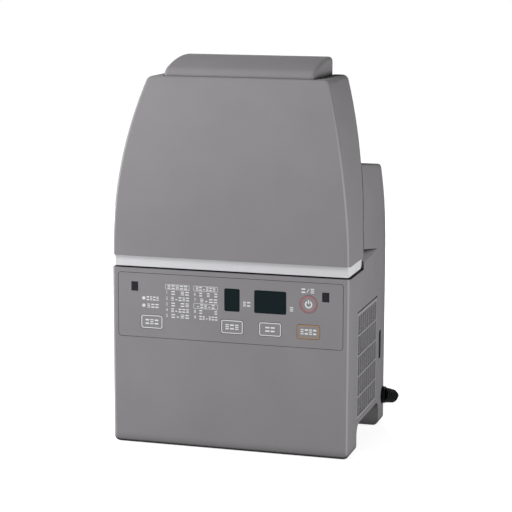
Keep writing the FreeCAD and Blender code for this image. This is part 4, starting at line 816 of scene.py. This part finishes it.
    def course_lists(self) -> list[bpy.types.Object]:
        """Print the two numbered lists left of the displays.

        Returns:
            The outlines, numerals and bars.
        """
        found = []
        captions = (
            (("-=-==", 4.2), ("= -=", 4.7), ("-.=-=", 3.8), ("= =-", 4.7), ("-.==-", 3.8), ("=.-=", 4.7)),
            (("-=.-=-", 3.4), ("= - =", 3.8), ("-.==", 4.6), (".=-.=", 3.8), ("=   -", 3.8),
             ("=-.-==", 3.15)),
        )
        numbers = ("12345", "67 89")
        for left, rows, digits in zip(self.blocks, captions, numbers):
            middle = left + self.block_width / 2
            for i, (cells, pitch) in enumerate(rows):
                z = self.top_row_z - i * self.row_pitch
                digit = digits[i - 1] if i else " "
                if digit == " ":
                    found.append(self.frame(middle, z, self.block_width, self.title_height, self.block_line,
                                            self.title_corner))
                    found += self.words(middle - pitch * len(cells) / 2, z, cells, pitch, self.title_mark)
                else:
                    found.append(self.numeral(digit, left + self.digit_inset, z, self.digit_height))
                    found += self.words(left + self.block_width - pitch * len(cells), z, cells, pitch,
                                        self.row_mark)
        return found

    def labels(self) -> list[bpy.types.Object]:
        """Print the captions beside the lamps, the displays and the round key.

        Returns:
            The bars.
        """
        found = []
        for line in self.captions:
            found += self.words(line.x, line.z, line.cells, line.pitch, line.height)
        slash = self.bar(0.0, 0.0, *self.slash_size)
        slash.data.transform(Matrix.Rotation(math.radians(self.slash_lean), 4, "Y"))
        slash.data.transform(Matrix.Translation((self.slash_place[0] * MM, 0.0, self.slash_place[1] * MM)))
        return found + [slash]

    def build(self) -> None:
        """Print the panel and every key."""
        white = self.inks[Ink.WHITE]
        self.lay(self.course_lists() + self.labels(), "panel_print", white, Body.CASING)
        keys = ((Body.SIZE_KEY, -77.8, "=-=", 4.7), (Body.COURSE_KEY, 3.2, "-=-", 4.8),
                (Body.TIME_KEY, 41.0, "==", 5.2))
        for body, x, cells, pitch in keys:
            frame = self.frame(x, self.key_row_z, *self.key_size, self.key_line, self.key_corner)
            marks = self.words(x - pitch * len(cells) / 2, self.key_row_z, cells, pitch, self.key_mark)
            self.lay([frame] + marks, f"{body.value}_print", white, body)
        self.print_start_key(white)
        self.print_power_key(white)

    def print_start_key(self, white: bpy.types.Material) -> None:
        """Print the start key's outline and word.

        Args:
            white: The ink of the word.
        """
        outline = self.frame(self.start_x, self.key_row_z, *self.key_size, self.start_line,
                             self.start_corner)
        self.lay([outline], "start_key_outline", self.inks[Ink.ORANGE], Body.START_KEY)
        pitch, height = self.start_word
        cells = "-=-="
        word = self.words(self.start_x - pitch * len(cells) / 2, self.key_row_z, cells, pitch, height)
        self.lay(word, "start_key_print", white, Body.START_KEY)

    def print_power_key(self, white: bpy.types.Material) -> None:
        """Print the round key's ring and symbol.

        Args:
            white: The ink of the symbol.
        """
        band = self.ring(self.start_x, self.power_z, *self.power_band, 0.0)
        self.lay([band], "power_key_ring", self.inks[Ink.RED], Body.POWER_KEY)
        arc = self.ring(self.start_x, self.power_z - self.power_drop, *self.power_arc, self.power_gap)
        lift, width, height = self.power_stem
        stem = self.bar(self.start_x, self.power_z + lift, width, height)
        self.lay([arc, stem], "power_key_symbol", white, Body.POWER_KEY)

    def lay(self, pieces: list[bpy.types.Object], name: str, ink: bpy.types.Material, body: Body) -> None:
        """Join prints into one skin of ink on a body.

        Args:
            pieces: The flat prints.
            name: Name of the skin.
            ink: Its material.
            body: What it rides on.
        """
        print_skin = join_pieces(pieces, name)
        deselect()
        print_skin.select_set(True)
        bpy.context.view_layer.objects.active = print_skin
        skin = print_skin.modifiers.new("cover", "SOLIDIFY")
        skin.thickness = self.ink_depth * MM
        skin.offset = -1.0
        bpy.ops.object.modifier_apply(modifier=skin.name)
        settle(print_skin, name, ink)
        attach(print_skin, body.value)
        LOG.info("print %s", name)


@dataclass
class MainsCord:
    """The cord from its boot to the plug, with the put-away length wound behind the casing."""

    pvc: bpy.types.Material
    radius: float = 3.0
    length: float = 1888.4
    lead: tuple[Point, ...] = (
        (126.320, 88.263, 23.087),
        (127.727, 91.424, 22.095),
        (127.7, 96.4, 22.0),
        (124.9, 100.2, 23.0),
        (119.0, 103.4, 24.6),
        (108.0, 105.6, 24.0),
        (91.0, 106.4, 14.5),
        (71.5, 105.1, 5.8),
        (57.0, 104.6, 4.2),
    )
    tail: tuple[Point, ...] = ((32.0, 104.6, 10.8), (18.0, 103.1, 9.4), (6.0, 103.1, 9.4))
    coil_centre: Point = (43.4, 152.6, 4.2)
    coil_radius: float = 48.0
    coil_turns: int = 8
    coil_step: float = 6.6
    coil_tuck: float = 1.3
    points_per_turn: int = 16

    def coil_points(self) -> list[Point]:
        """Work out the control points of the two wound layers, clockwise in and then out again.

        Returns:
            The points, in mm.
        """
        count = self.coil_turns * self.points_per_turn
        reach = 1 / math.cos(math.pi / self.points_per_turn)
        middle, climb_turns = self.coil_turns / 2, 0.5
        found = []
        for i in range(count):
            turns = (i + 0.5) / self.points_per_turn
            inward = min(turns, self.coil_turns - turns, middle - climb_turns / 2)
            climb = min(max((turns - middle) / climb_turns + 0.5, 0.0), 1.0)
            lift = climb * climb * (3 - 2 * climb)
            tuck = self.coil_tuck * (4 * climb * (1 - climb)) ** 2
            radius = (self.coil_radius - self.coil_step * inward - tuck) * reach
            angle = -math.pi / 2 - 2 * math.pi * turns
            x, y, z = self.coil_centre
            found.append((x + radius * math.cos(angle), y + radius * math.sin(angle),
                          z + self.coil_step * lift))
        return found

    def build(self) -> None:
        route = [*self.lead, *self.coil_points(), *self.tail]
        line = bpy.data.curves.new("mains_cord", "CURVE")
        line.dimensions = "3D"
        line.resolution_u = 8
        line.bevel_depth = self.radius * MM
        line.bevel_resolution = 5
        line.use_fill_caps = True
        spline = line.splines.new("NURBS")
        spline.points.add(len(route) - 1)
        for point, place in zip(spline.points, route):
            point.co = (place[0] * MM, place[1] * MM, place[2] * MM, 1.0)
        spline.order_u = 3
        spline.use_endpoint_u = True
        cord = bpy.data.objects.new("mains_cord", line)
        bpy.context.scene.collection.objects.link(cord)
        line.materials.append(self.pvc)
        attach(cord, Body.CASING.value)
        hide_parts("cord_lead", "cord_coil", "cord_tail")
        LOG.info("cord of %.2f m", self.length * MM)


# Studio


@dataclass(frozen=True)
class Lamp:
    """One soft box."""

    name: str
    place: Point
    aim: Point
    size: float
    power: float

    def hang(self) -> None:
        """Put the lamp up."""
        light = bpy.data.lights.new(self.name, "AREA")
        light.shape = "SQUARE"
        light.size = self.size
        light.energy = self.power
        lamp = bpy.data.objects.new(self.name, light)
        lamp.location = self.place
        lamp.rotation_mode = "QUATERNION"
        lamp.rotation_quaternion = (Vector(self.aim) - Vector(self.place)).to_track_quat("-Z", "Y")
        bpy.context.scene.collection.objects.link(lamp)


@dataclass
class Studio:
    """White floor and surround, soft boxes and the camera at the photograph's angle."""

    eye: Point = (0.49129, -1.65992, 0.48823)
    target: Point = (0.02692, -0.0785, 0.1934)
    lens: float = 124.735
    roll: float = 0.16
    floor_size: float = 12.0
    floor_hex: str = "F4F4F4"
    bounce_hex: str = "8C8C8C"
    floor_lift: Flat = (0.8, 1.0)
    lift_reach: Flat = (0.25, 0.8)
    ambient: float = 0.03
    lamps: tuple[Lamp, ...] = (
        Lamp("left_box", (-0.72, -0.62, 0.12), (0.0, 0.0, 0.15), 0.5, 6.0),
        Lamp("right_box", (0.98, -0.36, 0.2), (0.0, 0.0, 0.2), 0.5, 7.7),
        Lamp("high_box", (-1.1, -0.72, 1.6), (0.0, 0.0, 0.3), 0.8, 32.0),
        Lamp("back_box", (-0.6, 1.4, 0.25), (0.0, 0.0, 0.2), 0.6, 15.0),
    )

    def camera(self) -> None:
        """Set up the camera."""
        data = bpy.data.cameras.new("photo_camera")
        data.lens = self.lens
        data.sensor_width = 36.0
        camera = bpy.data.objects.new("photo_camera", data)
        camera.location = self.eye
        look = (Vector(self.target) - Vector(self.eye)).to_track_quat("-Z", "Y")
        camera.rotation_mode = "QUATERNION"
        camera.rotation_quaternion = look @ Quaternion((0.0, 0.0, 1.0), math.radians(self.roll))
        bpy.context.scene.collection.objects.link(camera)
        bpy.context.scene.camera = camera

    def seen(self, tree: bpy.types.NodeTree) -> bpy.types.NodeSocket:
        """Add nodes that tell rays that show the background from rays that only carry light.

        Args:
            tree: The tree that takes the nodes.

        Returns:
            A socket that is 1 for camera, glossy and transmission rays, and otherwise 0.
        """
        rays = add_node(tree, "ShaderNodeLightPath", {}, {})
        eye = add_node(tree, "ShaderNodeMath", {"operation": "MAXIMUM"},
                       {0: rays.outputs["Is Camera Ray"], 1: rays.outputs["Is Glossy Ray"]})
        both = add_node(tree, "ShaderNodeMath", {"operation": "MAXIMUM"},
                        {0: eye.outputs["Value"], 1: rays.outputs["Is Transmission Ray"]})
        return both.outputs["Value"]

    def floor(self) -> None:
        """Lay a floor that shows white but for the shadow near the object, and throws little light back."""
        deselect()
        bpy.ops.mesh.primitive_plane_add(size=self.floor_size, location=(0.0, 0.0, 0.0))
        floor = bpy.context.object
        material, tree, shader = blank_material("studio_floor")
        seen = self.seen(tree)
        colour = add_node(tree, "ShaderNodeMix",
                          {"data_type": "RGBA", MIX_FROM: linear(self.bounce_hex),
                           MIX_TO: linear(self.floor_hex)},
                          {0: seen})
        place = add_node(tree, "ShaderNodeTexCoord", {}, {}).outputs["Object"]
        away = add_node(tree, "ShaderNodeVectorMath", {"operation": "LENGTH"}, {0: place})
        white = add_node(tree, "ShaderNodeMapRange",
                         {"From Min": self.lift_reach[0], "From Max": self.lift_reach[1],
                          "To Min": self.floor_lift[0], "To Max": self.floor_lift[1]},
                         {"Value": away.outputs["Value"]})
        lift = add_node(tree, "ShaderNodeMath", {"operation": "MULTIPLY"},
                        {0: white.outputs["Result"], 1: seen})
        shader.inputs["Roughness"].default_value = 0.9
        shader.inputs["Specular IOR Level"].default_value = 0.0
        shader.inputs["Emission Color"].default_value = (1.0, 1.0, 1.0, 1.0)
        tree.links.new(colour.outputs[MIX_RESULT], shader.inputs["Base Color"])
        tree.links.new(lift.outputs["Value"], shader.inputs["Emission Strength"])
        settle(floor, "studio_floor", material)

    def surround(self) -> None:
        """White where it is seen, and a plain soft light to the rest."""
        world = bpy.data.worlds.new("studio_surround")
        world.use_nodes = True
        bpy.context.scene.world = world
        tree = world.node_tree
        level = add_node(tree, "ShaderNodeMapRange", {"To Min": self.ambient, "To Max": 1.0},
                         {"Value": self.seen(tree)})
        sky = tree.nodes["Background"]
        sky.inputs["Color"].default_value = (1.0, 1.0, 1.0, 1.0)
        tree.links.new(level.outputs["Result"], sky.inputs["Strength"])

    def build(self) -> None:
        """Put the studio up."""
        bpy.context.scene.view_settings.view_transform = "Standard"
        self.camera()
        self.floor()
        self.surround()
        for lamp in self.lamps:
            lamp.hang()


def main() -> None:
    """Build and dress the dryer."""
    logging.basicConfig(level=logging.INFO)
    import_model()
    finishes = {
        "casing": CASING_ABS.make(),
        "cover": COVER_ABS.make(),
        "band": BAND_ABS.make(),
        "duct": DUCT_PP.make(),
        "black": BLACK_NYLON.make(),
        "pvc": BLACK_PVC.make(),
        "rubber": FOOT_RUBBER.make(),
        "laminate": BOARD_LAMINATE.make(),
        "resin": HEATER_RESIN.make(),
        "window": SMOKED_ACRYLIC.make(),
        "receiver": RECEIVER_ACRYLIC.make(),
        "lens": LENS_ACRYLIC.make(),
        "zinc": ZINC_PLATE.make(),
        "steel": GROUND_STEEL.make(),
        "aluminium": FIN_ALUMINIUM.make(),
        "nickel": BLADE_NICKEL.make(),
        "knit": FILTER_KNIT.make(),
    }
    inks = {ink: ScreenInk(f"ink_{ink.name.lower()}", ink).make() for ink in Ink}
    Studio().build()
    MainsCord(finishes["pvc"]).build()
    Insides(finishes).dress()
    Shell(finishes).dress()
    PanelPrint(inks).build()


if __name__ == "__main__":
    main()
